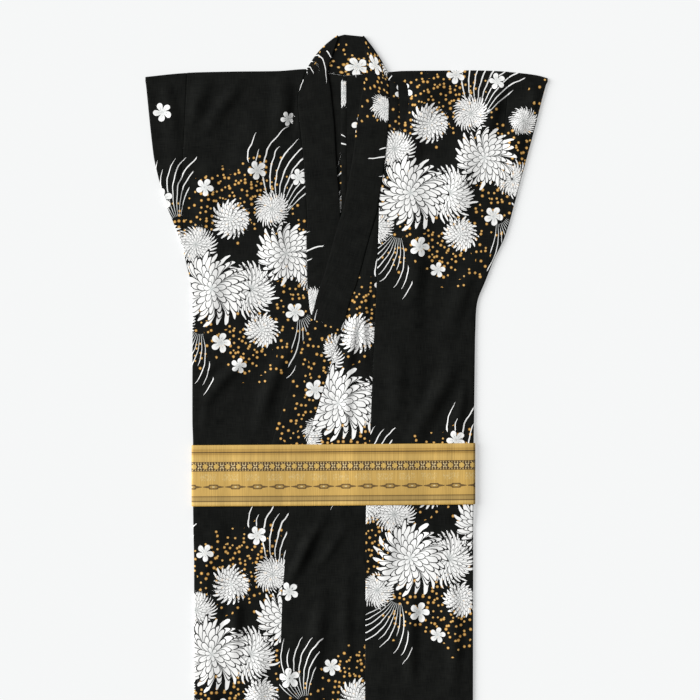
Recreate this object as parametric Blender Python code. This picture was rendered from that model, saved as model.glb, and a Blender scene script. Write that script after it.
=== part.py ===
"""A cotton yukata robe with its belt, laid face up on a flat surface.

The left front lies over the right one. The sides and the sleeves are turned
under along the outline, and the belt is wrapped once round the robe.
across runs to the wearer's left, up runs from the hem to the collar, and z is
the height above the surface. Sizes are millimetres, turned to metres where the
vertices are made. Heights inside the stack are counted in layers of cloth.
"""
import math
from collections import namedtuple

import bmesh
import bpy
from mathutils import Vector

MM = 0.001

# Cloth, and its dye in linear red, green and blue
WALL = 1.0
GAP = 0.3
LAYER = WALL + GAP
SEAM = 0.2
BODY_BLACK = (0.012, 0.013, 0.012)
OKUMI_BLACK = (0.02, 0.02, 0.02)
COLLAR_BLACK = (0.015, 0.015, 0.015)
COVER_BLACK = (0.01, 0.01, 0.01)
COTTON_ROUGHNESS = 0.85

# Stations up the garment
UP_OKUMI_CORNER = 690.0
UP_COLLAR_END = 696.0
UP_OKUMI_RIGHT_END = 850.0
UP_SLEEVE_BOTTOM = 900.0
UP_COVER_END = 950.0
UP_ARM = 1113.0
UP_OKUMI_LEFT_END = 1155.0
UP_NECK_BACK = 1396.0
UP_SHOULDER = 1405.0
UP_TOP = 1468.5
UP_LOW = [0.0, 80.0, 160.0, 240.0, 320.0, 400.0, 480.0, 540.0, 600.0, 638.0]
UP_MIDDLE = [696.0, 753.0, 791.0, 850.0, 912.0, 950.0, 1000.0, 1036.0, 1075.0, 1113.0]
UP_CHEST = [1155.0, 1180.0, 1225.0, 1258.0, 1306.0, 1353.0, 1380.0]
UP_SLEEVE_LOW = [1075.0, 1036.0, 1000.0, 950.0, UP_SLEEVE_BOTTOM]

# Where the overlap comes down from the collar onto the back alone
OVERLAP_RAMP = (1180.0, 1225.0)

# Belt
BELT_WALL = 1.4
BELT_WIDTH = 107.0
BELT_UP = 695.5
BELT_SLOPE = 0.0075
BELT_RISE = 2.0 * (BELT_WALL + GAP)
BELT_RAMP = (600.0, 638.0, 753.0, 791.0)
BELT_SHARES = (-0.5, -0.17, 0.17, 0.5)
BELT_BEND_STEPS = 6
BELT_GOLD = (0.66, 0.42, 0.11)
BELT_ROUGHNESS = 0.55

# Body pieces
CENTRE_BACK = -3.6
MIDDLE_UNDER = 2.0
INSIDE_PARTS = 7
BESIDE_PARTS = 4

# Okumi panels
OKUMI_RIGHT_SEAM = -38.0
OKUMI_LEFT_PARTS = 8
OKUMI_RIGHT_PARTS = 2

# Sleeves, cut 330 mm wide from seam to cuff. Two cloths of each lie turned under the two that show
SLEEVE_WIDTH = 330.0
SLEEVE_UNDER = 2.0
UNDER_LIP = 14.0
SLEEVE_GROOVE = 6.0
STRIP_CLEAR = 3.0

# Turned folds
FOLD_STEPS = 4
OUTER_BEND = 1.5 * LAYER
INNER_BEND = 0.5 * LAYER
FOLD_LEAD = 6.0

Edge = namedtuple("Edge", "up across")
Strip = namedtuple("Strip", "up width")
Shoulder = namedtuple("Shoulder", "across up")
Band = namedtuple("Band", "up outer width tilt")
Fold = namedtuple("Fold", "piece across up half_width half_length lean height")
Crown = namedtuple("Crown", "across z")
Side = namedtuple("Side", "sign fold strip seam ramp tip")

LEFT_FOLD = [
    Edge(0.0, 221.6), Edge(638.0, 222.6), Edge(753.0, 223.0), Edge(791.0, 223.9),
    Edge(912.0, 225.4), Edge(950.0, 226.2), Edge(1000.0, 229.7), Edge(1036.0, 243.7),
    Edge(1075.0, 259.4), Edge(1113.0, 277.6), Edge(1180.0, 297.2), Edge(1258.0, 318.0),
    Edge(1306.0, 331.0), Edge(1353.0, 342.7), Edge(1391.0, 353.0),
]
RIGHT_FOLD = [
    Edge(0.0, -267.0), Edge(540.0, -267.0), Edge(600.0, -268.2), Edge(638.0, -268.4),
    Edge(753.0, -268.6), Edge(791.0, -270.0), Edge(1000.0, -270.2), Edge(1036.0, -273.6),
    Edge(1075.0, -282.7), Edge(1113.0, -293.3), Edge(1180.0, -319.4), Edge(1225.0, -331.4),
    Edge(1258.0, -338.3), Edge(1391.0, -352.4),
]
LEFT_STRIP = [
    Strip(0.0, 72.0), Strip(950.0, 74.0), Strip(1000.0, 70.0), Strip(1036.0, 56.0),
    Strip(1075.0, 38.0), Strip(1113.0, 15.0),
]
RIGHT_STRIP = [
    Strip(0.0, 36.0), Strip(950.0, 36.0), Strip(1000.0, 33.0), Strip(1036.0, 27.0),
    Strip(1075.0, 18.0), Strip(1113.0, 12.0),
]
LEFT_SLEEVE_SEAM = [Edge(1113.0, 269.6), Edge(1225.0, 270.0), Edge(1405.0, 286.0)]
RIGHT_SLEEVE_SEAM = [Edge(1113.0, -285.4), Edge(1225.0, -288.0), Edge(1405.0, -279.0)]
SHOULDER = [
    Shoulder(-353.0, 1394.0), Shoulder(-286.0, 1400.7), Shoulder(-202.0, 1403.2),
    Shoulder(-118.0, 1404.3), Shoulder(-69.0, 1407.6), Shoulder(73.0, 1402.6),
    Shoulder(96.0, 1404.2), Shoulder(150.0, 1404.8), Shoulder(232.0, 1405.2),
    Shoulder(286.0, 1402.6), Shoulder(334.0, 1397.0), Shoulder(353.0, 1391.6),
]
OKUMI_LEFT_SEAM = [
    Edge(0.0, 32.0), Edge(480.0, 33.5), Edge(638.0, 34.4), Edge(696.0, 38.0),
    Edge(753.0, 41.4), Edge(850.0, 45.0), Edge(950.0, 49.2), Edge(1036.0, 53.3),
    Edge(1155.0, 57.1),
]
OKUMI_LEFT_EDGE = [
    Edge(0.0, -120.0), Edge(320.0, -117.9), Edge(480.0, -112.6), Edge(600.0, -103.9),
    Edge(638.0, -100.4), Edge(690.0, -137.0),
]
OKUMI_RIGHT_EDGE = [Edge(0.0, 112.0), Edge(480.0, 112.0), Edge(600.0, 95.0), Edge(690.0, 62.0)]

# Collar legs: outer is the seam edge, tilt is how far a row leans up towards the neck
COLLAR_LEFT = [
    Band(696.0, -84.6, 58.0, 14.0), Band(753.0, -68.9, 59.0, 13.0),
    Band(791.0, -57.5, 58.5, 13.5), Band(850.0, -39.1, 58.0, 16.0),
    Band(912.0, -20.9, 58.5, 18.5), Band(950.0, -7.6, 57.8, 20.0),
    Band(1000.0, 6.4, 58.5, 18.0), Band(1036.0, 19.3, 59.0, 16.5),
    Band(1113.0, 40.0, 58.3, 16.0), Band(1155.0, 52.8, 58.5, 14.5),
    Band(1180.0, 57.0, 58.0, 11.5), Band(1225.0, 64.1, 56.5, 9.0),
    Band(1258.0, 68.2, 55.8, 7.0), Band(1306.0, 72.9, 54.9, 11.0),
    Band(1353.0, 74.6, 51.2, 26.0), Band(1380.0, 73.8, 50.9, 41.0),
    Band(1403.5, 72.7, 75.3, 56.1),
]
COLLAR_RIGHT = [
    Band(696.0, 6.4, 58.0, 15.0), Band(753.0, -9.4, 58.0, 15.0),
    Band(791.0, -19.9, 58.0, 15.0), Band(850.0, -35.6, 58.0, 15.0),
    Band(912.0, -50.5, 58.0, 13.0), Band(950.0, -58.4, 58.0, 10.0),
    Band(1000.0, -65.4, 58.0, 7.0), Band(1036.0, -68.0, 58.0, 5.0),
    Band(1113.0, -69.6, 58.0, 2.0), Band(1155.0, -69.0, 58.0, 3.0),
    Band(1225.0, -73.4, 57.2, 4.0), Band(1258.0, -76.0, 57.2, 4.0),
    Band(1306.0, -80.8, 59.4, 5.5), Band(1353.0, -85.0, 59.8, 17.0),
    Band(1380.0, -79.4, 56.5, 33.0), Band(1408.7, -69.2, 78.9, 47.4),
]
BAND_COLUMNS = 4
NECK_BAND_DOWN = 0.5

# How far the slanted fold beside the neck bulges outwards
NECK_BULGE_LEFT = 2.0
NECK_BULGE_RIGHT = 5.0

# The largest soft folds of the fronts, each a low ridge
FOLDS = [
    Fold("body_right", -118.0, 1335.0, 30.0, 90.0, 0.04, 4.6),
    Fold("body_right", -214.0, 1335.0, 26.0, 70.0, 0.50, 3.4),
    Fold("body_right", -170.0, 1235.0, 44.0, 150.0, 0.12, 3.0),
    Fold("body_right", -126.0, 852.0, 22.0, 100.0, 0.33, 4.2),
    Fold("body_right", -208.0, 866.0, 26.0, 60.0, 0.90, 4.0),
    Fold("body_right", -200.0, 435.0, 28.0, 110.0, 0.0, 3.6),
    Fold("body_right", -195.0, 150.0, 34.0, 140.0, 0.03, 3.4),
    Fold("body_left", 256.0, 1330.0, 30.0, 80.0, 0.40, 3.6),
    Fold("body_left", 205.0, 1210.0, 38.0, 120.0, 0.20, 3.0),
    Fold("body_left", 120.0, 1060.0, 32.0, 130.0, 0.05, 2.6),
    Fold("body_left", 157.0, 840.0, 30.0, 88.0, 0.38, 4.6),
    Fold("body_left", 118.0, 410.0, 26.0, 150.0, 0.02, 3.6),
    Fold("body_left", 184.0, 400.0, 24.0, 140.0, 0.0, 3.2),
    Fold("body_left", 165.0, 170.0, 32.0, 150.0, 0.03, 3.2),
    Fold("okumi_left", -68.0, 545.0, 24.0, 80.0, 0.64, 4.4),
    Fold("okumi_left", -54.0, 390.0, 28.0, 140.0, 0.05, 3.2),
    Fold("okumi_left", -46.0, 160.0, 30.0, 140.0, 0.0, 3.0),
]

BELT_CROWN = [
    Crown(-205.0, 10.6), Crown(-150.0, 12.2), Crown(0.0, 12.8), Crown(122.0, 12.2),
    Crown(170.0, 10.8),
]
BELT_SIDE_Z = 9.5
BELT_LEFT_END = 226.0
BELT_RIGHT_END = -271.1
BELT_INNER_END = 170.0
BELT_OUTER_END = -220.0

# Origin in the middle of the garment's bounding box, on the surface
ORIGIN_ACROSS = 0.5 * (LEFT_FOLD[-1].across + RIGHT_FOLD[-1].across)
ORIGIN_UP = 0.5 * UP_TOP

LEFT = Side(1.0, LEFT_FOLD, LEFT_STRIP, LEFT_SLEEVE_SEAM, (118.0, 146.0), 353.0)
RIGHT = Side(-1.0, RIGHT_FOLD, RIGHT_STRIP, RIGHT_SLEEVE_SEAM, (-200.0, -228.0), -352.4)


def clear_scene():
    for thing in list(bpy.data.objects):
        bpy.data.objects.remove(thing, do_unlink=True)


def mix(first, last, share):
    return first + (last - first) * share


def ramp(value, start, end):
    return min(1.0, max(0.0, (value - start) / (end - start)))


def read_table(rows, key, value, at):
    """Straight-line value of a table whose key column rises."""
    for low, high in zip(rows, rows[1:]):
        if at <= getattr(high, key):
            start, end = getattr(low, key), getattr(high, key)
            return mix(getattr(low, value), getattr(high, value), ramp(at, start, end))
    return getattr(rows[-1], value)


def across_at(edge, up):
    return read_table(edge, "up", "across", up)


def outer_at(band, up):
    return read_table(band, "up", "outer", up)


def shoulder_at(across):
    return read_table(SHOULDER, "across", "up", across)


def belt_rise(up):
    """The cloth is lifted where the back of the belt passes under it."""
    start, full, hold, end = BELT_RAMP
    return BELT_RISE * min(ramp(up, start, full), ramp(up, end, hold))


def back_layer(across, up):
    """Layers under the back: the turned sides and sleeves, none in the lower middle."""
    beside = max(ramp(across, *LEFT.ramp), ramp(across, *RIGHT.ramp))
    above = ramp(up, BELT_RAMP[0], BELT_RAMP[1])
    return MIDDLE_UNDER * (beside + (1.0 - beside) * above)


def underlap_layer(across, up):
    return back_layer(across, up) + 1.0


def overlap_layer(across, up):
    """The overlap lies on the underlap and its collar, and on the back alone beside them."""
    on_underlap = 2.0 + ramp(up, BELT_RAMP[0], BELT_RAMP[1]) - 2.0 * ramp(up, *OVERLAP_RAMP)
    return back_layer(across, up) + mix(on_underlap, 1.0, ramp(across, *LEFT.ramp))


def mid_height(layer, up):
    return layer * LAYER + belt_rise(up) + 0.5 * WALL


def soft_fold(piece, across, up):
    """Height of a piece's soft ridges at a point, fading to nothing round each one."""
    height = 0.0
    for fold in FOLDS:
        along = (up - fold.up) / fold.half_length
        beside = (across - fold.across - fold.lean * (up - fold.up)) / fold.half_width
        if fold.piece == piece and max(abs(along), abs(beside)) < 1.0:
            fade = math.cos(0.5 * math.pi * along) ** 2
            height += fold.height * fade * math.cos(0.5 * math.pi * beside) ** 2
    return height


def metres(point):
    return Vector((point.x - ORIGIN_ACROSS, point.y - ORIGIN_UP, point.z)) * MM


def make_material(name, colour, roughness):
    material = bpy.data.materials.new(name)
    material.use_nodes = True
    shader = material.node_tree.nodes["Principled BSDF"]
    shader.inputs["Base Color"].default_value = (*colour, 1.0)
    shader.inputs["Roughness"].default_value = roughness
    shader.inputs["Metallic"].default_value = 0.0
    return material


def cotton(name, colour=BODY_BLACK):
    return make_material("dyed cotton " + name, colour, COTTON_ROUGHNESS)


def add_object(name, bm, material):
    bmesh.ops.recalc_face_normals(bm, faces=bm.faces)
    mesh = bpy.data.meshes.new(name)
    bm.to_mesh(mesh)
    bm.free()
    mesh.materials.append(material)
    thing = bpy.data.objects.new(name, mesh)
    bpy.context.scene.collection.objects.link(thing)
    return thing


def build_wall(name, rows, material, wall=WALL):
    """Close a grid of (middle point, normal) pairs into a wall. None leaves a place out."""
    bm = bmesh.new()
    faces = {}
    for i, row in enumerate(rows):
        for j, place in enumerate(row):
            if place is None:
                continue
            middle, normal = place
            half = normal * (0.5 * wall)
            faces[i, j] = (bm.verts.new(metres(middle + half)), bm.verts.new(metres(middle - half)))

    def whole(i, j):
        return all(corner in faces for corner in ((i, j), (i + 1, j), (i, j + 1), (i + 1, j + 1)))

    for i, row in enumerate(rows[:-1]):
        for j in range(len(row) - 1):
            if not whole(i, j):
                continue
            a, b, c, d = faces[i, j], faces[i + 1, j], faces[i + 1, j + 1], faces[i, j + 1]
            for face in (0, 1):
                bm.faces.new((a[face], b[face], c[face]))
                bm.faces.new((a[face], c[face], d[face]))
            neighbours = ((i, j - 1, a, b), (i + 1, j, b, c), (i, j + 1, c, d), (i - 1, j, d, a))
            for row_at, column_at, first, second in neighbours:
                if not whole(row_at, column_at):
                    bm.faces.new((first[0], second[0], second[1], first[1]))
    bmesh.ops.delete(bm, geom=[v for v in bm.verts if not v.link_faces], context="VERTS")
    return add_object(name, bm, material)


def fold_tangent(side, up):
    """Where the cloth starts to turn round the side."""
    return across_at(side.fold, up) - side.sign * (0.5 * WALL + OUTER_BEND)


def flat_end(side, up):
    """Where the flat of a body piece ends: at the sleeve seam, or just before the side fold."""
    if up > UP_ARM:
        return across_at(side.seam, up) - side.sign * SEAM
    return fold_tangent(side, up) - side.sign * FOLD_LEAD


def flat_places(inner, side, end):
    """Places across the flat of a body piece, from its inner edge to its end."""
    ramp_start, ramp_end = side.ramp
    inside = [mix(inner, ramp_start, number / INSIDE_PARTS) for number in range(INSIDE_PARTS + 1)]
    beside = [mix(ramp_end, end, number / BESIDE_PARTS) for number in range(BESIDE_PARTS + 1)]
    return inside + beside


def front_section(name, side, inner, layer_at, up, top_at=None):
    """Places across a front at one station, from the inner edge round the side fold."""
    end = flat_end(side, up)
    places = []
    for across in flat_places(inner, side, end):
        lift = 0.0 if across in (inner, end) else soft_fold(name, across, up)
        z = mid_height(layer_at(across, up), up) + lift
        row_up = top_at(across) if top_at else up
        places.append((Vector((across, row_up, z)), Vector((0.0, 0.0, 1.0))))
    top = mid_height(layer_at(end, up), up)
    return places + side_fold(side, fold_tangent(side, up), top, OUTER_BEND, up, 1.0)


def side_fold(side, tangent, top, bend, up, outward):
    """The turned side: a half round bend and the strip under it. None above the armhole."""
    if up > UP_ARM:
        return [None] * (FOLD_STEPS + 2)
    centre = top - bend
    places = []
    for step in range(FOLD_STEPS + 1):
        angle = math.pi * (0.5 - step / FOLD_STEPS)
        radial = Vector((side.sign * math.cos(angle), 0.0, math.sin(angle)))
        middle = Vector((tangent, up, centre)) + radial * bend
        places.append((middle, radial * outward))
    width = read_table(side.strip, "up", "width", up)
    seam = across_at(side.fold, up) - side.sign * width
    places.append((Vector((seam, up, centre - bend)), Vector((0.0, 0.0, -outward))))
    return places


def back_section(side, up):
    """Places across the back at one station, from the centre seam round the side fold."""
    end = flat_end(side, up)
    places = []
    for across in flat_places(CENTRE_BACK + side.sign * SEAM, side, end):
        z = mid_height(back_layer(across, up), up)
        places.append((Vector((across, up, z)), Vector((0.0, 0.0, -1.0))))
    top = mid_height(back_layer(end, up), up)
    return places + side_fold(side, fold_tangent(side, up), top, INNER_BEND, up, -1.0)


def shoulder_rows(top_row):
    """The bend over the shoulder, from the last row of the front to the first of the back."""
    rows = []
    for step in range(1, FOLD_STEPS + 1):
        angle = math.pi * step / FOLD_STEPS
        row = []
        for place in top_row:
            if place is None:
                row.append(None)
                continue
            middle = place[0]
            normal = Vector((0.0, math.sin(angle), math.cos(angle)))
            centre = middle - Vector((0.0, 0.0, INNER_BEND))
            row.append((centre + normal * INNER_BEND, normal))
        rows.append(row)
    return rows


def build_body(name, side, inner_at, layer_at):
    """One body length: up the front, over the shoulder and down the back."""
    stations = UP_LOW + UP_MIDDLE + UP_CHEST
    rows = []
    for up in stations:
        inner = inner_at(up) + side.sign * SEAM
        rows.append(front_section(name, side, inner, layer_at, up))
    inset = INNER_BEND + 0.5 * WALL
    up = shoulder_at(inner_at(UP_CHEST[-1])) - inset
    inner = inner_at(up) + side.sign * SEAM
    top_row = front_section(name, side, inner, layer_at, up, lambda across: shoulder_at(across) - inset)
    rows.append(top_row)
    rows.extend(shoulder_rows(top_row))
    for up in [UP_NECK_BACK - GAP] + stations[-2::-1]:
        rows.append(back_section(side, up))
    return build_wall(name, rows, cotton(name))


def build_body_left():
    def inner_at(up):
        if up <= UP_OKUMI_LEFT_END:
            return across_at(OKUMI_LEFT_SEAM, up)
        return outer_at(COLLAR_LEFT, up)
    return build_body("body_left", LEFT, inner_at, overlap_layer)


def build_body_right():
    def inner_at(up):
        return min(OKUMI_RIGHT_SEAM, outer_at(COLLAR_RIGHT, up))
    return build_body("body_right", RIGHT, inner_at, underlap_layer)


def build_okumi(name, stations, left_at, right_at, layer_at, parts):
    """A narrow front panel between its seam and the collar or the free edge."""
    rows = []
    for up in stations:
        left, right = left_at(up) + SEAM, right_at(up) - SEAM
        row = []
        for number in range(parts + 1):
            across = mix(left, right, number / parts)
            lift = soft_fold(name, across, up) if 0 < number < parts else 0.0
            z = mid_height(layer_at(across, up), up) + lift
            row.append((Vector((across, up, z)), Vector((0.0, 0.0, 1.0))))
        rows.append(row)
    return build_wall(name, rows, cotton(name, OKUMI_BLACK))


def build_okumi_left():
    def left_at(up):
        if up >= UP_COLLAR_END:
            return outer_at(COLLAR_LEFT, up)
        return across_at(OKUMI_LEFT_EDGE, up)
    stations = UP_LOW + [UP_OKUMI_CORNER] + UP_MIDDLE + [UP_OKUMI_LEFT_END]
    return build_okumi("okumi_left", stations, left_at, lambda up: across_at(OKUMI_LEFT_SEAM, up),
                       overlap_layer, OKUMI_LEFT_PARTS)


def build_okumi_right():
    def right_at(up):
        if up >= UP_COLLAR_END:
            return outer_at(COLLAR_RIGHT, up)
        return across_at(OKUMI_RIGHT_EDGE, up)
    stations = UP_LOW + [UP_OKUMI_CORNER] + [up for up in UP_MIDDLE if up <= UP_OKUMI_RIGHT_END]
    return build_okumi("okumi_right", stations, lambda up: OKUMI_RIGHT_SEAM, right_at,
                       underlap_layer, OKUMI_RIGHT_PARTS)


def band_row(band, sign, layer_at, extra):
    """One row across a collar leg, from the seam edge to the inner edge."""
    lean = math.radians(band.tilt)
    row = []
    for step in range(BAND_COLUMNS):
        distance = band.width * step / (BAND_COLUMNS - 1)
        across = band.outer - sign * distance * math.cos(lean)
        up = band.up + distance * math.sin(lean)
        z = mid_height(layer_at(across, up) + extra, band.up)
        row.append((Vector((across, up, z)), Vector((0.0, 0.0, 1.0))))
    return row


def neck_fold(band, sign, bulge, extra):
    """The slanted fold where a collar leg turns under to pass behind the neck."""
    bend = (0.5 + extra) * LAYER
    silhouette = 0.5 * WALL + 1.5 * LAYER
    lean = math.radians(band.tilt)
    along = Vector((-sign * math.cos(lean), math.sin(lean), 0.0))
    outward = Vector((sign * math.sin(lean), math.cos(lean), 0.0))
    centre_z = mid_height(MIDDLE_UNDER + 0.5, band.up)
    rows = []
    for step in range(FOLD_STEPS + 1):
        angle = math.pi * step / FOLD_STEPS
        normal = outward * math.sin(angle) + Vector((0.0, 0.0, math.cos(angle)))
        row = []
        for column in range(BAND_COLUMNS):
            share = column / (BAND_COLUMNS - 1)
            start = Vector((band.outer, band.up, centre_z)) + along * (band.width * share)
            inset = silhouette - bulge * math.sin(math.pi * share)
            row.append((start - outward * inset + normal * bend, normal))
        rows.append(row)
    return rows


def neck_back_row(extra):
    """The upright row behind the neck, over the centre seam of the back."""
    z = mid_height(MIDDLE_UNDER - extra, UP_TOP)
    low = UP_NECK_BACK + GAP
    row = []
    for column in range(BAND_COLUMNS):
        up = mix(low, UP_TOP - NECK_BAND_DOWN, column / (BAND_COLUMNS - 1))
        row.append((Vector((CENTRE_BACK, up, z)), Vector((0.0, 0.0, -1.0))))
    return row


def build_collar_band(name, lowest, extra, colour):
    """A band from one leg, behind the neck, to the other. extra counts layers over the collar."""
    right_leg = [band for band in COLLAR_RIGHT if band.up >= lowest]
    left_leg = [band for band in COLLAR_LEFT if band.up >= lowest]
    rows = [band_row(band, -1.0, underlap_layer, extra) for band in right_leg[:-1]]
    rows.extend(neck_fold(right_leg[-1], -1.0, NECK_BULGE_RIGHT, extra))
    rows.append(neck_back_row(extra))
    rows.extend(reversed(neck_fold(left_leg[-1], 1.0, NECK_BULGE_LEFT, extra)))
    rows.extend(band_row(band, 1.0, overlap_layer, extra) for band in reversed(left_leg[:-1]))
    return build_wall(name, rows, cotton(name, colour))


def sleeve_ring(side, up, top):
    """Outline of a sleeve cut across at one station: the face that shows, its fold and what is under."""
    sign = side.sign
    fold = across_at(side.fold, up)
    cover_low = (SLEEVE_UNDER + 1.0) * LAYER
    under_top = SLEEVE_UNDER * LAYER - GAP
    bend = 0.5 * (cover_low + WALL)
    turn = fold - sign * bend
    seam = across_at(side.seam, up) + sign * SEAM
    lip = seam - sign * UNDER_LIP
    flat_width = abs(across_at(side.seam, UP_ARM)) + SLEEVE_WIDTH
    cuff = sign * (2.0 * abs(side.tip) - flat_width)
    inner = sleeve_inner_end(sign, cuff)
    outline = inner + [(lip, 0.0), (turn, 0.0)]
    for step in range(1, FOLD_STEPS):
        angle = math.pi * (step / FOLD_STEPS - 0.5)
        outline.append((turn + sign * bend * math.cos(angle), bend + bend * math.sin(angle)))
    outline += [(turn, 2.0 * bend), (seam, 2.0 * bend), (seam, cover_low), (turn, cover_low),
                (turn, cover_low - GAP), (seam, cover_low - GAP), (seam, under_top), (lip, under_top)]
    return [Vector((x, top(x) if up > UP_CHEST[-1] else up, z)) for x, z in outline]


def sleeve_inner_end(sign, cuff):
    """The cuff end of the turned sleeve, whose two cloths part along a shallow groove."""
    groove = cuff + sign * SLEEVE_GROOVE
    top = SLEEVE_UNDER * LAYER - GAP
    return [(cuff, top), (cuff, LAYER), (groove, LAYER), (groove, WALL), (cuff, WALL), (cuff, 0.0)]


def add_band(bm, first, second):
    """Quads between two closed rings of the same number of vertices."""
    count = len(first)
    for i in range(count):
        j = (i + 1) % count
        bm.faces.new((first[i], first[j], second[j], second[i]))


def build_sleeve(name, side):
    """A sleeve: the part that shows beside the body, and the rest turned under it."""
    bm = bmesh.new()
    stations = [UP_ARM + GAP] + UP_CHEST[1:-1] + [UP_SHOULDER]
    rings = []
    for up in stations:
        points = sleeve_ring(side, up, lambda across: shoulder_at(across) - GAP)
        rings.append([bm.verts.new(metres(point)) for point in points])
    for first, second in zip(rings, rings[1:]):
        add_band(bm, first, second)
    bm.faces.new(rings[-1])
    sleeve_end = len(sleeve_inner_end(side.sign, 0.0))
    slab = rings[0][:sleeve_end + 1] + [rings[0][-1]]
    bm.faces.new(rings[0][sleeve_end:])
    for up in UP_SLEEVE_LOW:
        width = read_table(side.strip, "up", "width", up)
        edge = across_at(side.fold, up) - side.sign * (width + STRIP_CLEAR)
        points = [metres_back(vertex) for vertex in slab[:sleeve_end]]
        lower = [Vector((point.x, up, point.z)) for point in points]
        lower += [Vector((edge, up, 0.0)), Vector((edge, up, SLEEVE_UNDER * LAYER - GAP))]
        below = [bm.verts.new(metres(point)) for point in lower]
        add_band(bm, slab, below)
        slab = below
    bm.faces.new(slab)
    return add_object(name, bm, cotton(name))


def metres_back(vertex):
    """Part coordinates in millimetres of a vertex."""
    x, y, z = vertex.co / MM
    return Vector((x + ORIGIN_ACROSS, y + ORIGIN_UP, z))


def belt_path():
    """Middle of the belt's wall seen from the hem, from its inner end round to its outer end."""
    low = BELT_WALL + GAP + 0.5 * BELT_WALL
    path = [(BELT_INNER_END, low), (0.0, low)]
    path += belt_bend(BELT_RIGHT_END, -1.0, low, BELT_SIDE_Z)
    path += [(crown.across, crown.z) for crown in BELT_CROWN]
    path += reversed(belt_bend(BELT_LEFT_END, 1.0, 0.5 * BELT_WALL, BELT_SIDE_Z))
    path += [(0.0, 0.5 * BELT_WALL), (BELT_OUTER_END, 0.5 * BELT_WALL)]
    return path


def belt_bend(end, sign, low, high):
    """Points of a half round bend at one side, from the low run to the high one."""
    radius = 0.5 * (high - low)
    centre = end - sign * (radius + 0.5 * BELT_WALL)
    points = []
    for step in range(BELT_BEND_STEPS + 1):
        angle = math.pi * (step / BELT_BEND_STEPS - 0.5)
        points.append((centre + sign * radius * math.cos(angle), low + radius + radius * math.sin(angle)))
    return points


def build_belt():
    """The belt, one stiff woven band wrapped round the robe, its ends lapped behind."""
    path = belt_path()
    rows = []
    for share in BELT_SHARES:
        row = []
        for number, (across, z) in enumerate(path):
            before = path[max(0, number - 1)]
            after = path[min(len(path) - 1, number + 1)]
            along = Vector((after[0] - before[0], 0.0, after[1] - before[1])).normalized()
            normal = Vector((along.z, 0.0, -along.x))
            up = BELT_UP + share * BELT_WIDTH + BELT_SLOPE * across
            row.append((Vector((across, up, z)), normal))
        rows.append(row)
    material = make_material("woven belt", BELT_GOLD, BELT_ROUGHNESS)
    return build_wall("belt", rows, material, BELT_WALL)


def build_robe():
    clear_scene()
    build_body_left()
    build_body_right()
    build_okumi_left()
    build_okumi_right()
    build_collar_band("collar", UP_COLLAR_END, 0.0, COLLAR_BLACK)
    build_collar_band("collar_cover", UP_COVER_END, 1.0, COVER_BLACK)
    build_sleeve("sleeve_left", LEFT)
    build_sleeve("sleeve_right", RIGHT)
    build_belt()


build_robe()
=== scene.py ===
"""The looks of the robe: its cloth, seams, print, stitches and woven belt.

Every piece of cloth is a thin shell on the form of its solid. across runs to the
wearer's left, up runs from the hem to the collar, and z is the height above the
surface, all in millimetres, turned to metres where a mesh is made. A piece starts as
rows of places. A place is a point in the middle of the wall, with the way its face
looks, with u and v, where it lies on the flat cloth, and with how far its face drops.
"""
import math
from collections import namedtuple

import bmesh
import bpy
import numpy as np
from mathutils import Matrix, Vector, noise


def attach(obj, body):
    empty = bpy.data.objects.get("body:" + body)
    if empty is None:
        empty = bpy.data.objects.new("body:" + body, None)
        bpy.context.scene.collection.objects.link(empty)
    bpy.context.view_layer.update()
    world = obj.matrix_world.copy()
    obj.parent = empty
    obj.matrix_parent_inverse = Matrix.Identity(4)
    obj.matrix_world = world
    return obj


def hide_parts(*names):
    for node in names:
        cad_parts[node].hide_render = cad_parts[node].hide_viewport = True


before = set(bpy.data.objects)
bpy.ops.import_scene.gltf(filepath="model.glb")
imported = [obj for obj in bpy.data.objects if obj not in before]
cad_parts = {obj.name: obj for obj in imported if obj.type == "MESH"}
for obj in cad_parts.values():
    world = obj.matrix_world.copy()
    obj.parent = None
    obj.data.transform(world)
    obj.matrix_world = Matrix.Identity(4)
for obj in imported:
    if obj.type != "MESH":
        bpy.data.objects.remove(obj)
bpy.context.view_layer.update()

Side = namedtuple("Side", "sign fold strip seam ramp tip")
Band = namedtuple("Band", "up outer width tilt")
Fold = namedtuple("Fold", "across up half_width half_length lean height")
Waver = namedtuple("Waver", "height across up slice")
Place = namedtuple("Place", "middle normal u v drop", defaults=(0.0,))
Motif = namedtuple("Motif", "x y radius turn")
Ring = namedtuple("Ring", "petals reach width ragged vein")
Layer = namedtuple("Layer", "name motifs rings swirl waver sector")
Figure = namedtuple("Figure", "shift lobes squeeze base swing hole paint")

# Cloth and the layers that it lies in
MM = 0.001
WALL = 1.0
GAP = 0.3
LAYER = WALL + GAP
SEAM = 0.2
MIDDLE_UNDER = 2.0
OVERLAP_LAYERS = 2.0
OUTER_BEND = 1.5 * LAYER
INNER_BEND = 0.5 * LAYER
SHOULDER_INSET = INNER_BEND + 0.5 * WALL
FOLD_LEAD = 6.0
FACE_UP = Vector((0.0, 0.0, 1.0))

# Stations up the garment
UP_OKUMI_CORNER = 690.0
UP_COLLAR_END = 696.0
UP_OKUMI_RIGHT_TOP = 850.0
UP_SLEEVE_BOTTOM = 900.0
UP_COVER_END = 950.0
UP_ARM = 1113.0
UP_ALLOWANCE = (1140.0, 1394.0)
UP_OKUMI_END = 1155.0
UP_OKUMI_LEFT_TOP = 1176.0
UP_COLLAR_SEAM = 1180.0
UP_OVERLAP_END = 1225.0
UP_CHEST = 1380.0
UP_NECK_BACK = 1396.0
UP_SLEEVE_TOP = 1403.0
UP_SHOULDER = 1404.0
UP_TOP = 1468.5

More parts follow.
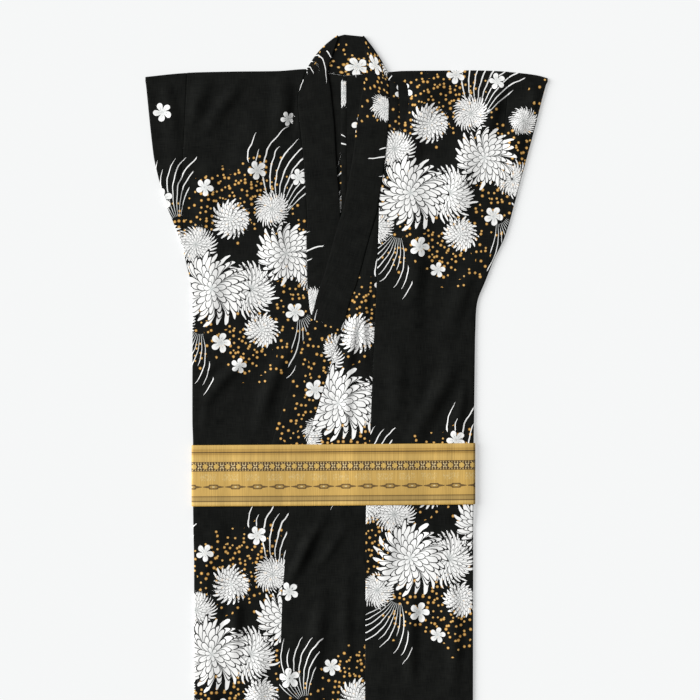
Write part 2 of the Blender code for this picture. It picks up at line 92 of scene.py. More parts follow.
# Belt
BELT_WALL = 1.4
BELT_WIDTH = 107.0
BELT_UP = 697.1
BELT_SLOPE = 0.0075
BELT_RISE = 2.0 * (BELT_WALL + GAP)
BELT_RAMP = (600.0, 638.0, 753.0, 791.0)
BELT_SIDE_Z = 9.5
BELT_LEFT_END = 226.0
BELT_RIGHT_END = -271.1
BELT_INNER_END = 170.0
BELT_OUTER_END = -220.0
BELT_CROWN = [(-205.0, 10.6), (-150.0, 12.2), (0.0, 12.8), (122.0, 12.2), (170.0, 10.8)]

# Collar and the back of the neck. The cover is tucked further under the back, so that the seam is closed
COLLAR_CROWN = 0.4
BACK_BAND_HIGH = UP_TOP - 0.5
NECK_BULGE_LEFT = 2.0
NECK_BULGE_RIGHT = 5.0
NECK_TUCK = 8.0

# Seams of the back and the underlap, and the pressed seam allowance inside the back
CENTRE_BACK = -3.6
OKUMI_RIGHT_SEAM = -38.0
ALLOWANCE_ACROSS = (-9.0, -0.4)
ALLOWANCE_WALL = 0.6
ALLOWANCE_LIFT = 0.05
ALLOWANCE_DROP = 0.25
ALLOWANCE_U = 60.0

# Sleeves. Below the armhole the turned cloth starts a little beyond the strip of the body
SLEEVE_WIDTH = 330.0
SLEEVE_FREE = 3.0
SLEEVE_FRONT_Z = 3.0 * LAYER + 0.5 * WALL
SLEEVE_BACK_Z = 2.0 * LAYER + 0.5 * WALL
SLEEVE_CENTRE_Z = 0.5 * (SLEEVE_FRONT_Z + 0.5 * WALL)

# Stitches and where they run
STITCH_LENGTH = 2.6
STITCH_THICKNESS = 0.7
TWISTS_A_METRE = 900.0
LONG_PITCH = 13.0
COVER_PITCH = 6.0
HEM_STITCH_UP = 12.0
HEM_STITCH_COLUMNS = slice(4, 40)
COVER_STITCH_COLUMNS = slice(2, -2)
EDGE_STITCH_COLUMN = 3

# Size of the mesh, fine where the cloth shows and coarse underneath
FINE = 6.0
BELT_STEP = 7.0
SLEEVE_STEP = 8.0
ALLOWANCE_STEP = 8.0
BACK_STEP = 9.0
UNDERLAP_STEP = 12.0
COARSE = 16.0
EDGE_STEPS = (0.7, 2.0, 4.5)
EDGE_DROP = (0.45, 0.15, 0.04, 0.0)
SHOULDER_SHARES = (0.25, 0.5, 0.75, 1.0)
ALLOWANCE_SHARES = (0.0, 0.12, 0.5, 0.88, 1.0)
FRONT_COLUMNS = 40
STRIP_COLUMNS = 4
OKUMI_LEFT_COLUMNS = 26
OKUMI_RIGHT_COLUMNS = 12
COLLAR_COLUMNS = 9
SLEEVE_TOP_COLUMNS = 8
SLEEVE_UNDER_COLUMNS = 18
BELT_ROWS = 14
NECK_STEPS = 7
NECK_FOLD_STEPS = 4
BEND_STEPS = 8
HALF_TURN = [math.pi * step / BEND_STEPS for step in range(BEND_STEPS + 1)]
SHARP_ANGLE = 48.0

# Tables of pairs go up the garment, from the hem: how far up, and how far across
LEFT_FOLD = [
    (0.0, 221.6), (638.0, 222.6), (753.0, 223.0), (791.0, 223.9), (912.0, 225.4), (950.0, 226.2),
    (1000.0, 229.7), (1036.0, 243.7), (1075.0, 259.4), (1113.0, 277.6), (1180.0, 297.2),
    (1258.0, 318.0), (1306.0, 331.0), (1353.0, 342.7), (1391.0, 353.0),
]
RIGHT_FOLD = [
    (0.0, -267.0), (540.0, -267.0), (600.0, -268.2), (638.0, -268.4), (753.0, -268.6), (791.0, -270.0),
    (1000.0, -270.2), (1036.0, -273.6), (1075.0, -282.7), (1113.0, -293.3), (1180.0, -319.4),
    (1225.0, -331.4), (1258.0, -338.3), (1391.0, -352.4),
]
LEFT_STRIP = [(0.0, 72.0), (950.0, 74.0), (1000.0, 70.0), (1036.0, 56.0), (1075.0, 38.0), (1113.0, 15.0)]
RIGHT_STRIP = [(0.0, 36.0), (950.0, 36.0), (1000.0, 33.0), (1036.0, 27.0), (1075.0, 18.0), (1113.0, 12.0)]
LEFT_SLEEVE_SEAM = [(1113.0, 269.6), (1225.0, 270.0), (1405.0, 286.0)]
RIGHT_SLEEVE_SEAM = [(1113.0, -285.4), (1225.0, -288.0), (1405.0, -279.0)]

# Across the robe: how far across, and how far up its top line is there
SHOULDER = [
    (-353.0, 1394.0), (-286.0, 1400.7), (-202.0, 1403.2), (-118.0, 1404.3), (-69.0, 1407.6),
    (73.0, 1402.6), (96.0, 1404.2), (150.0, 1404.8), (232.0, 1405.2), (286.0, 1402.6),
    (334.0, 1397.0), (353.0, 1391.6),
]

OKUMI_LEFT_SEAM = [
    (0.0, 32.0), (480.0, 33.5), (638.0, 34.4), (696.0, 38.0), (753.0, 41.4), (850.0, 45.0),
    (950.0, 49.2), (1036.0, 53.3), (1155.0, 57.1),
]
OKUMI_LEFT_EDGE = [
    (0.0, -120.0), (320.0, -117.9), (480.0, -112.6), (600.0, -103.9), (638.0, -100.4), (690.0, -137.0),
]
OKUMI_RIGHT_EDGE = [(0.0, 112.0), (480.0, 112.0), (600.0, 95.0), (690.0, 62.0)]

# Each leg of the collar: how far up, its seam edge, its width and its tilt in degrees
COLLAR_LEFT = [
    Band(696.0, -84.6, 58.0, 14.0), Band(753.0, -68.9, 59.0, 13.0), Band(791.0, -57.5, 58.5, 13.5),
    Band(850.0, -39.1, 58.0, 16.0), Band(912.0, -20.9, 58.5, 18.5), Band(950.0, -7.6, 57.8, 20.0),
    Band(1000.0, 6.4, 58.5, 18.0), Band(1036.0, 19.3, 59.0, 16.5), Band(1113.0, 40.0, 58.3, 16.0),
    Band(1155.0, 52.8, 58.5, 14.5), Band(1180.0, 57.0, 58.0, 11.5), Band(1225.0, 64.1, 56.5, 9.0),
    Band(1258.0, 68.2, 55.8, 7.0), Band(1306.0, 72.9, 54.9, 11.0), Band(1353.0, 74.6, 51.2, 26.0),
    Band(1380.0, 73.8, 50.9, 41.0), Band(1403.5, 72.7, 75.3, 56.1),
]
COLLAR_RIGHT = [
    Band(696.0, 6.4, 58.0, 15.0), Band(753.0, -9.4, 58.0, 15.0), Band(791.0, -19.9, 58.0, 15.0),
    Band(850.0, -35.6, 58.0, 15.0), Band(912.0, -50.5, 58.0, 13.0), Band(950.0, -58.4, 58.0, 10.0),
    Band(1000.0, -65.4, 58.0, 7.0), Band(1036.0, -68.0, 58.0, 5.0), Band(1113.0, -69.6, 58.0, 2.0),
    Band(1155.0, -69.0, 58.0, 3.0), Band(1225.0, -73.4, 57.2, 4.0), Band(1258.0, -76.0, 57.2, 4.0),
    Band(1306.0, -80.8, 59.4, 5.5), Band(1353.0, -85.0, 59.8, 17.0), Band(1380.0, -79.4, 56.5, 33.0),
    Band(1408.7, -69.2, 78.9, 47.4),
]

# Soft folds of each piece: across and up, half width and half length, lean and height. The light comes from
# the left, so a ridge is pale on its left and dark on its right
FOLD_ROWS = {
    "body_right": [
        (-118.0, 1342.0, 26.0, 85.0, 0.04, 6.7), (-214.0, 1342.0, 22.0, 66.0, 0.50, 5.0),
        (-258.0, 1352.0, 24.0, 66.0, 0.15, 5.0), (-170.0, 1235.0, 44.0, 150.0, 0.12, 4.7),
        (-250.0, 1180.0, 30.0, 110.0, 0.10, 3.5), (-120.0, 1090.0, 30.0, 140.0, -0.08, 3.2),
        (-236.0, 1010.0, 26.0, 120.0, 0.08, 3.5), (-127.0, 852.0, 22.0, 108.0, 0.33, 5.9),
        (-210.0, 866.0, 21.0, 58.0, 1.10, 6.3), (-251.0, 874.0, 13.0, 24.0, 1.00, 5.9),
        (-246.0, 800.0, 18.0, 50.0, 0.10, 2.8), (-200.0, 435.0, 19.0, 100.0, 0.00, 6.3),
        (-150.0, 560.0, 17.0, 66.0, 0.35, 3.2), (-246.0, 520.0, 16.0, 80.0, 0.02, 2.8),
        (-235.0, 320.0, 20.0, 110.0, -0.02, 3.2), (-152.0, 300.0, 22.0, 150.0, 0.04, 3.5),
        (-205.0, 150.0, 30.0, 140.0, 0.03, 5.0), (-88.0, 1338.0, 13.0, 60.0, 0.02, -2.7),
    ],
    "body_left": [
        (262.0, 1336.0, 24.0, 76.0, 0.40, 6.3), (150.0, 1366.0, 42.0, 60.0, 0.05, 4.7),
        (108.0, 1270.0, 26.0, 110.0, 0.06, 3.5), (205.0, 1210.0, 36.0, 120.0, 0.20, 4.4),
        (120.0, 1060.0, 30.0, 130.0, 0.05, 3.9), (196.0, 1010.0, 24.0, 100.0, 0.25, 3.9),
        (157.0, 830.0, 27.0, 92.0, 0.38, 7.2), (206.0, 812.0, 19.0, 80.0, 0.30, 4.4),
        (84.0, 860.0, 24.0, 100.0, 0.06, 3.2), (118.0, 420.0, 20.0, 150.0, 0.02, 5.5),
        (184.0, 410.0, 20.0, 140.0, 0.00, 4.7), (70.0, 560.0, 18.0, 80.0, 0.10, 3.2),
        (150.0, 585.0, 17.0, 60.0, -0.20, 2.9), (88.0, 190.0, 26.0, 160.0, 0.04, 4.4),
        (170.0, 170.0, 30.0, 150.0, 0.03, 4.7), (96.0, 1345.0, 16.0, 72.0, 0.00, -3.6),
        (128.0, 1350.0, 22.0, 60.0, 0.08, 2.9),
    ],
    "okumi_left": [
        (-72.0, 562.0, 17.0, 78.0, 0.64, 8.3), (-30.0, 570.0, 15.0, 62.0, 0.60, 3.5),
        (-56.0, 400.0, 21.0, 140.0, 0.05, 5.5), (4.0, 420.0, 17.0, 130.0, 0.02, 3.5),
        (-96.0, 330.0, 14.0, 100.0, 0.03, 2.8), (12.0, 930.0, 15.0, 120.0, 0.08, 3.9),
        (36.0, 960.0, 10.0, 100.0, 0.05, 2.8), (-4.0, 810.0, 14.0, 60.0, 0.20, 2.9),
        (-50.0, 160.0, 26.0, 140.0, 0.00, 4.7), (8.0, 180.0, 20.0, 140.0, 0.03, 3.5),
    ],
    "sleeve_left": [
        (306.0, 1290.0, 22.0, 80.0, 0.20, 4.4), (330.0, 1350.0, 16.0, 50.0, 0.20, 2.8),
    ],
    "sleeve_right": [
        (-312.0, 1330.0, 20.0, 80.0, -0.05, 3.9), (-300.0, 1210.0, 14.0, 70.0, -0.20, 2.8),
    ],
}
FOLDS = {piece: [Fold(*row) for row in rows] for piece, rows in FOLD_ROWS.items()}
FOLD_BOW = 6.0
FOLD_BOW_TURN = 2.2

# How far from a seam, a side fold or an armhole the folds reach their full height
SEAM_HOLD = 12.0
SIDE_HOLD = 16.0
ARMHOLE_HOLD = 10.0

# Waver of cloth laid by hand: its height, its waves a millimetre across and up, and its slice of the noise
WAVER = Waver(1.3, 0.016, 0.007, 3.0)
RIPPLE = Waver(0.5, 0.045, 0.022, 9.0)
COLLAR_WAVER = Waver(0.35, 0.02, 0.011, 5.0)
BELT_WAVER = Waver(0.45, 0.021, 1.0, 7.0)
BELT_WAVER_UP = 2.0
BELT_EASE = 30.0

# Origin of the row frame
ORIGIN_ACROSS = 0.5 * (LEFT_FOLD[-1][1] + RIGHT_FOLD[-1][1])
ORIGIN_UP = 0.5 * UP_TOP

LEFT = Side(1.0, LEFT_FOLD, LEFT_STRIP, LEFT_SLEEVE_SEAM, (118.0, 146.0), 353.0)
RIGHT = Side(-1.0, RIGHT_FOLD, RIGHT_STRIP, RIGHT_SLEEVE_SEAM, (-200.0, -228.0), -352.4)

# The print, on the flat bolt of cloth: x across it, y along it, then radius and turn
PRINT_REPEAT = 640.0
FRONT_BLOOMS = [
    Motif(116.0, 262.0, 69.0, 10.0), Motif(246.0, 324.0, 60.0, 75.0), Motif(150.0, 384.0, 38.0, 140.0),
    Motif(204.0, 190.0, 34.0, 200.0), Motif(38.0, 350.0, 30.0, 33.0), Motif(322.0, 236.0, 30.0, 290.0),
]
BEHIND_BLOOMS = [
    Motif(184.0, 262.0, 54.0, 60.0), Motif(58.0, 206.0, 36.0, 20.0), Motif(88.0, 340.0, 40.0, 260.0),
    Motif(222.0, 402.0, 36.0, 130.0), Motif(296.0, 286.0, 36.0, 10.0), Motif(314.0, 388.0, 28.0, 190.0),
]
SMALL_FLOWERS = [
    Motif(22.0, 262.0, 17.0, 0.0), Motif(132.0, 168.0, 18.0, 40.0), Motif(262.0, 222.0, 17.0, 100.0),
    Motif(340.0, 318.0, 18.0, 20.0), Motif(30.0, 420.0, 19.0, 66.0), Motif(196.0, 470.0, 17.0, 11.0),
    Motif(104.0, 440.0, 16.0, 30.0), Motif(268.0, 458.0, 15.0, 70.0), Motif(164.0, 128.0, 14.0, 45.0),
    Motif(250.0, 560.0, 13.0, 15.0), Motif(30.0, 572.0, 17.0, 85.0),
]
GRASSES = [
    Motif(236.0, 380.0, 175.0, 82.0), Motif(60.0, 372.0, 150.0, 112.0), Motif(268.0, 226.0, 150.0, -64.0),
    Motif(96.0, 200.0, 140.0, 248.0),
]

# Where each piece was cut from the bolt: across it and along it
BOLT_PLACES = {
    "body_left": (4.0, 352.0),
    "body_right": (352.0, 520.0),
    "okumi_left": (130.0, 80.0),
    "okumi_right": (120.0, 0.0),
    "collar": (326.0, 150.0),
    "collar_cover": (306.0, 340.0),
    "sleeve_left": (4.0, 352.0),
    "sleeve_right": (352.0, 520.0),
    "seam_allowance": (259.0, 225.0),
}

# Gold dots lie in drifts, thickest a little way outside the large blooms
DRIFT_AWAY = 14.0
DRIFT_REACH = 40.0
DRIFT_THICKEST = 1.25
DRIFT_MEAN = 0.55
DRIFT_SWING = 0.7
DRIFT_WAVES = (0.023, 0.0196)
DRIFT_STARTS = (1.1, 0.5)
DOT_SPACING = 9.5
DOT_RADIUS = (0.17, 0.12)
DOT_RIM = 4.5

# Dye and thread of the cotton: the width of a patch in the dye, and the width and length of a slub, in
# millimetres, then how much of each shows
DYE_PATCH = 26.0
SLUB_WIDE = 1.25
SLUB_LONG = 20.0
DYE_SHOWS = (0.9, -1.35)
SLUB_SHOWS = 1.4
PETAL_SHADOW = 0.8

# Rings of petals from the outside in: how many, their reach and half width, how ragged, and their vein
BROAD_RINGS = [
    Ring(22, 1.00, 0.39, 0.20, 0.00), Ring(19, 0.86, 0.41, 0.16, 0.02), Ring(16, 0.70, 0.42, 0.14, 0.03),
    Ring(12, 0.53, 0.43, 0.12, 0.04), Ring(9, 0.36, 0.44, 0.10, 0.05), Ring(6, 0.19, 0.45, 0.10, 0.00),
]
SPIDER_RINGS = [
    Ring(34, 1.00, 0.36, 0.24, 0.00), Ring(30, 0.84, 0.38, 0.18, 0.00), Ring(24, 0.68, 0.39, 0.15, 0.04),
    Ring(18, 0.50, 0.40, 0.12, 0.05), Ring(11, 0.30, 0.42, 0.10, 0.06),
]
FLOWER_RINGS = [Ring(5, 1.00, 0.45, 0.05, 0.035), Ring(10, 0.42, 0.26, 0.25, 0.00)]
GRASS_RINGS = [Ring(44, 1.00, 0.10, 0.55, 0.0)]

# A petal fills these shares of the black outline that it covers, and its shade fades away from the heart
OUTLINE_LENGTH = 0.95
OUTLINE_WIDTH = 0.84
PETAL_BLUNTNESS = 3.0
HEART_FADE = -1.25
SEED_STEP = 31.7
RING_SEED_STEP = 0.37
RADIUS_WAVER = 0.10
GRASS_FOOT = 0.12
FULL_TURN = 2.0 * math.pi

# The print from the bottom up. swirl bends the petals, and sector keeps a tuft of grass to part of the turn
PRINT_LAYERS = (
    Layer("grass", GRASSES, GRASS_RINGS, 0.10, 0.012, 0.10),
    Layer("small flower", SMALL_FLOWERS, FLOWER_RINGS, 0.02, 0.035, None),
    Layer("bloom behind", BEHIND_BLOOMS, SPIDER_RINGS, -0.07, 0.035, None),
    Layer("bloom front", FRONT_BLOOMS, BROAD_RINGS, 0.06, 0.035, None),
)

# Woven lines along the belt: millimetres down from its upper edge, and the colour there
BELT_LINES = [
    (0.0, "#CFA650"), (1.2, "#DBB66A"), (7.2, "#D6AF61"), (8.4, "#B08A48"), (9.4, "#CBA456"),
    (11.8, "#C29A50"), (12.6, "#5E4829"), (13.6, "#5E4829"), (14.4, "#CBA456"), (16.3, "#AF8A48"),
    (17.4, "#D1AA5C"), (23.0, "#DBB669"), (29.6, "#D6AF61"), (46.6, "#D4AD5E"), (57.0, "#D7B163"),
    (66.0, "#D4AD5E"), (84.0, "#D6AF61"), (89.0, "#D4AD5E"), (89.7, "#7A6036"), (90.5, "#7A6036"),
    (91.3, "#B59658"), (94.6, "#BB9C5D"), (97.5, "#B59658"), (98.2, "#6A522E"), (98.9, "#6A522E"),
    (99.8, "#D8B368"), (101.5, "#E0BD73"), (104.0, "#DBB669"), (107.0, "#C79E4A"),
]

# Bands of figures on the belt in millimetres: their repeats, their middles down from the upper edge, their
# sizes, and the waves a millimetre of what is uneven, along the belt and down it
FLOWER_REPEAT = 19.5
FLOWER_BAND = 37.8
FLOWER_BAND_HALF = 8.3
FIGURE_HALF = 6.6
FIGURE_GRAIN = 1.25
FIGURE_UNEVEN = 2.2
BELT_FIGURES = (
    Figure(0.0, 4.0, 1.25, 3.1, -2.8, 1.2, "#E6CE98"),
    Figure(0.5 * FLOWER_REPEAT, 7.0, 1.0, 4.6, 0.6, 0.0, "#DDB866"),
)
BUD_HIGH = 6.2
BUD_EDGE = (5.0, -0.9)
CHAIN_REPEAT = 38.6
CHAIN_BAND = 73.3
CHAIN_RINGS = ((10.4, 4.3, 0.32), (7.2, 2.3, 0.36))
CHAIN_INSIDE = 0.6
LOZENGE_HALF = 3.1
LOZENGE_SLOPE = 2.9
SPEAR = (9.0, 18.4)
SPEAR_TAPER = (-0.17, 3.73)
VINE_BAND = 57.0
VINE_HALF = 6.0
VINE_FLECK = 0.54
VINE_SHOWS = 0.4
SPRIG_SHIFT = 9.0
SPRIG_HALF = 14.0
VINE_WAVES = (0.62, 0.24)
RIB_WAVES = (0.55, 0.012)
SWAY_WAVES = (0.026, 0.002)

# Sockets of a Mix node that mixes colours
SHARE, UNDER, OVER, MIXED = 0, 6, 7, 2

# The surface that the robe lies on, the window light and the camera straight above, in metres
FLOOR_HALF = 8.0
FLOOR_Z = -0.0004
WINDOW_WAY = (0.84, -0.20, -0.50)
WINDOW_ANGLE = 42.0
CAMERA_PLACE = (0.0061, 0.181, 3.411)
LENS = 100.0
SENSOR = 36.0


def mix(first, last, share):
    return first + (last - first) * share


def ramp(value, start, end):
    return min(1.0, max(0.0, (value - start) / (end - start)))


def smooth(share):
    return share * share * (3.0 - 2.0 * share)


def curve_at(rows, at):
    """A smooth line through a table of pairs, with the slope of its neighbours at each one."""
    if at <= rows[0][0]:
        return rows[0][1]
    if at >= rows[-1][0]:
        return rows[-1][1]
    number = next(n for n in range(len(rows) - 1) if at <= rows[n + 1][0])
    (x0, y0), (x1, y1) = rows[number], rows[number + 1]
    before = rows[max(0, number - 1)]
    after = rows[min(len(rows) - 1, number + 2)]
    width = x1 - x0
    slope0 = (y1 - before[1]) / (x1 - before[0]) * width
    slope1 = (after[1] - y0) / (after[0] - x0) * width
    t = (at - x0) / width
    return (y0 * (2 * t ** 3 - 3 * t ** 2 + 1) + slope0 * (t ** 3 - 2 * t ** 2 + t)
            + y1 * (3 * t ** 2 - 2 * t ** 3) + slope1 * (t ** 3 - t ** 2))


def line_at(rows, at):
    """Straight-line value of a table of pairs, where a corner has to stay sharp."""
    for low, high in zip(rows, rows[1:]):
        if at <= high[0]:
            return mix(low[1], high[1], ramp(at, low[0], high[0]))
    return rows[-1][1]


def outer_at(bands, up):
    return curve_at([(band.up, band.outer) for band in bands], up)


def shoulder_at(across):
    return curve_at(SHOULDER, across)


def belt_rise(up):
    """The cloth is lifted where the back of the belt passes under it."""
    start, full, hold, end = BELT_RAMP
    return BELT_RISE * smooth(min(ramp(up, start, full), ramp(up, end, hold)))


def back_layer(across, up):
    """Layers under the back: the turned sides and sleeves, none in the lower middle."""
    beside = smooth(max(ramp(across, *LEFT.ramp), ramp(across, *RIGHT.ramp)))
    above = smooth(ramp(up, *BELT_RAMP[:2]))
    return MIDDLE_UNDER * (beside + (1.0 - beside) * above)


def underlap_layer(across, up):
    return back_layer(across, up) + 1.0


def overlap_layer(across, up):
    """The overlap lies on the underlap and its collar, and on the back alone beside them."""
    above_crossing = smooth(ramp(up, UP_COLLAR_SEAM, UP_OVERLAP_END))
    on_underlap = OVERLAP_LAYERS + smooth(ramp(up, *BELT_RAMP[:2])) - OVERLAP_LAYERS * above_crossing
    return back_layer(across, up) + mix(on_underlap, 1.0, smooth(ramp(across, *LEFT.ramp)))


def mid_height(layer, up):
    return layer * LAYER + belt_rise(up) + 0.5 * WALL


def waver_at(waver, across, up):
    return waver.height * noise.noise(Vector((across * waver.across, up * waver.up, waver.slice)))


def soft_fold(piece, across, up):
    """Height of a piece's soft ridges and troughs, and of its slight waver."""
    height = 0.0
    for fold in FOLDS.get(piece, ()):
        along = (up - fold.up) / fold.half_length
        bow = FOLD_BOW * math.sin(FOLD_BOW_TURN * along + fold.across)
        beside = (across - fold.across - bow - fold.lean * (up - fold.up)) / fold.half_width
        if max(abs(along), abs(beside)) < 1.0:
            shares = [math.cos(0.5 * math.pi * part) ** 2 for part in (along, beside)]
            height += fold.height * shares[0] * shares[1]
    return height + waver_at(WAVER, across, up) + waver_at(RIPPLE, across, up)


def metres(point):
    return ((point.x - ORIGIN_ACROSS) * MM, (point.y - ORIGIN_UP) * MM, max(0.0, point.z) * MM)


def spread(start, end, step):
    """Even places from start to end, both among them, about a step apart."""
    count = max(1, round(abs(end - start) / step))
    return [mix(start, end, number / count) for number in range(count + 1)]


def edge_drop(distance):
    """How far the face of the cloth turns down close to a seam."""
    places = (0.0,) + EDGE_STEPS
    return line_at(list(zip(places, EDGE_DROP)), min(distance, places[-1]))


def flat_columns(start, end, count):
    """Places across a panel, closer together near its two edges. The same number at each station."""
    sign = 1.0 if end > start else -1.0
    near = [start + sign * distance for distance in (0.0,) + EDGE_STEPS]
    far = [end - sign * distance for distance in reversed((0.0,) + EDGE_STEPS)]
    middle = [mix(near[-1], far[0], number / count) for number in range(1, count)]
    return near + middle + far


def stations(*marks, step=FINE):
    """Heights up the garment with the marks among them, a step or so apart."""
    found = [marks[0]]
    for low, high in zip(marks, marks[1:]):
        found += spread(low, high, step)[1:]
    return found


def from_hem(*marks):
    """Heights from the hem up, closer together where the face turns down to it."""
    return [0.0, *EDGE_STEPS] + stations(EDGE_STEPS[-1], *marks)[1:]


def row_up(up, share, across, inset):
    """How far up a place of a row lies. Above the chest the rows bend by a share to the shoulder's line."""
    return mix(UP_CHEST, shoulder_at(across) - inset, share) if share else up


def side_line(side, up):
    """Where the flat cloth of a body ends at one station, and the line that its side fold turns round."""
    tangent = curve_at(side.fold, up) - side.sign * (0.5 * WALL + OUTER_BEND)
    if up > UP_ARM:
        return line_at(side.seam, up) - side.sign * SEAM, tangent
    return tangent - side.sign * FOLD_LEAD, tangent


def side_bend(side, turn, up, centre_z, bend, outward):
    """Places round the half round bend at a side, from its top to the cloth under it."""
    row = []
    for turned in HALF_TURN:
        radial = Vector((side.sign * math.sin(turned), 0.0, math.cos(turned)))
        middle = Vector((turn, up, centre_z)) + radial * bend
        row.append(Place(middle, radial * outward, turn + side.sign * bend * turned, up))
    return row


def side_fold(side, tangent, top, bend, up, outward):
    """The turned side: a half round bend and the strip under it. Left out above the armhole."""
    if up > UP_ARM:
        return [None] * (BEND_STEPS + 1 + STRIP_COLUMNS)
    centre_z = top - bend
    row = side_bend(side, tangent, up, centre_z, bend, outward)
    seam = curve_at(side.fold, up) - side.sign * line_at(side.strip, up)
    for step in range(1, STRIP_COLUMNS + 1):
        across = mix(tangent, seam, step / STRIP_COLUMNS)
        u = tangent + side.sign * bend * math.pi + tangent - across
        row.append(Place(Vector((across, up, centre_z - bend)), FACE_UP * -outward, u, up))
    return row


def front_row(name, side, inner, layer_at, up, share):
    """Places across a front at one station, from the inner edge round the side fold."""
    last, tangent = side_line(side, up)
    row = []
    for across in flat_columns(inner, last, FRONT_COLUMNS):
        at = row_up(up, share, across, SHOULDER_INSET)
        to_inner, to_last = abs(across - inner), abs(last - across)
        to_edge = min(to_inner, to_last) if up > UP_ARM else to_inner
        hold = smooth(ramp(to_inner, 0.0, SEAM_HOLD)) * smooth(ramp(to_last, 0.0, SIDE_HOLD))
        z = mid_height(layer_at(across, up), up) + soft_fold(name, across, at) * hold * (1.0 - share)
        row.append(Place(Vector((across, at, z)), FACE_UP, across, at, edge_drop(min(to_edge, at))))
    top = mid_height(layer_at(last, up), up)
    return row + side_fold(side, tangent, top, OUTER_BEND, up, 1.0)


def back_row(side, up):
    """Places across the back at one station, from the centre seam round the side fold."""
    last, tangent = side_line(side, up)
    row = []
    for across in flat_columns(CENTRE_BACK + side.sign * SEAM, last, FRONT_COLUMNS):
        row.append(Place(Vector((across, up, mid_height(back_layer(across, up), up))), -FACE_UP, across, up))
    top = mid_height(back_layer(last, up), up)
    return down_the_back(row + side_fold(side, tangent, top, INNER_BEND, up, -1.0))


def down_the_back(row):
    """The same places, with v going on over the shoulder."""
    return [place and place._replace(v=2.0 * UP_SHOULDER - place.v) for place in row]


def turn_over(row):
    """Rows of a bend over the top, from a row that faces up to the cloth one layer under it."""
    def bent(place, turned):
        normal = place.normal * math.cos(turned) + Vector((0.0, math.sin(turned), 0.0))
        centre = place.middle - place.normal * INNER_BEND
        return Place(centre + normal * INNER_BEND, normal, place.u, place.v + INNER_BEND * turned)

    return [[place and bent(place, turned) for place in row] for turned in HALF_TURN[1:]]


def body_rows(name, side, inner_at, layer_at):
    """One body length of cloth: up the front, over the shoulder and down the back."""
    top = shoulder_at(inner_at(UP_CHEST)) - SHOULDER_INSET
    levels = [(up, 0.0) for up in from_hem(UP_ARM, UP_CHEST)]
    levels += [(mix(UP_CHEST, top, share), share) for share in SHOULDER_SHARES]
    rows = []
    for up, share in levels:
        rows.append(front_row(name, side, inner_at(up) + side.sign * SEAM, layer_at, up, share))
    backs = stations(0.0, UP_ARM, UP_OKUMI_END, step=COARSE)[:-1]
    backs += stations(UP_OKUMI_END, UP_CHEST, step=BACK_STEP) + [UP_NECK_BACK - GAP]
    return rows + turn_over(rows[-1]) + [back_row(side, up) for up in reversed(backs)]


def body_left_inner(up):
    """The okumi seam, and above its point the collar seam."""
    if up <= UP_OKUMI_END:
        return curve_at(OKUMI_LEFT_SEAM, up)
    collar = outer_at(COLLAR_LEFT, max(up, UP_COLLAR_SEAM))
    return mix(curve_at(OKUMI_LEFT_SEAM, UP_OKUMI_END), collar, ramp(up, UP_OKUMI_END, UP_COLLAR_SEAM))


def body_right_inner(up):
    return min(OKUMI_RIGHT_SEAM, outer_at(COLLAR_RIGHT, up))


def okumi_edge(bands, edge, up):
    """The free edge of an overlap panel, and above it the seam to its collar."""
    return outer_at(bands, up) if up >= UP_COLLAR_END else line_at(edge, up)


def okumi_rows(name, ups, left_at, right_at, layer_at, count):
    """A narrow front panel between its free edge or the collar and its seam."""
    rows = []
    for up in ups:
        left, right = left_at(up) + SEAM, right_at(up) - SEAM
        row = []
        for share in spread(0.0, 1.0, 1.0 / count):
            across = mix(left, right, share)
            to_edge = min(across - left, right - across)
            lift = soft_fold(name, across, up) * smooth(ramp(to_edge, 0.0, SEAM_HOLD))
            middle = Vector((across, up, mid_height(layer_at(across, up), up) + lift))
            row.append(Place(middle, FACE_UP, across, up, edge_drop(min(to_edge, up))))
        rows.append(row)
    return rows


def okumi_left_rows():
    return okumi_rows("okumi_left", from_hem(UP_OKUMI_CORNER, UP_COLLAR_END, UP_OKUMI_LEFT_TOP),
                      lambda up: okumi_edge(COLLAR_LEFT, OKUMI_LEFT_EDGE, up), body_left_inner,
                      overlap_layer, OKUMI_LEFT_COLUMNS)


def okumi_right_rows():
    ups = stations(0.0, UP_OKUMI_CORNER, UP_COLLAR_END, UP_OKUMI_RIGHT_TOP, step=UNDERLAP_STEP)
    return okumi_rows("okumi_right", ups, lambda up: OKUMI_RIGHT_SEAM,
                      lambda up: okumi_edge(COLLAR_RIGHT, OKUMI_RIGHT_EDGE, up),
                      underlap_layer, OKUMI_RIGHT_COLUMNS)


def collar_leg(bands, lowest, sign, layer_at, extra):
    """Rows across a collar leg from its lower end up, each from the seam edge to the inner edge."""
    tables = [[(band.up, getattr(band, name)) for band in bands] for name in ("outer", "width", "tilt")]
    rows = []
    for up in stations(lowest, bands[-2].up):
        outer, width, tilt = (curve_at(table, up) for table in tables)
        lean = math.radians(tilt)
        row = []
        for distance in flat_columns(0.0, width, COLLAR_COLUMNS):
            across = outer - sign * distance * math.cos(lean)
            at = up + distance * math.sin(lean)
            crown = COLLAR_CROWN * math.sin(math.pi * distance / width)
            z = mid_height(layer_at(across, at) + extra, up) + crown + waver_at(COLLAR_WAVER, across, at)
            drop = edge_drop(min(distance, width - distance))
            row.append(Place(Vector((across, at, z)), FACE_UP, distance, up, drop))
        rows.append(row)
    return rows


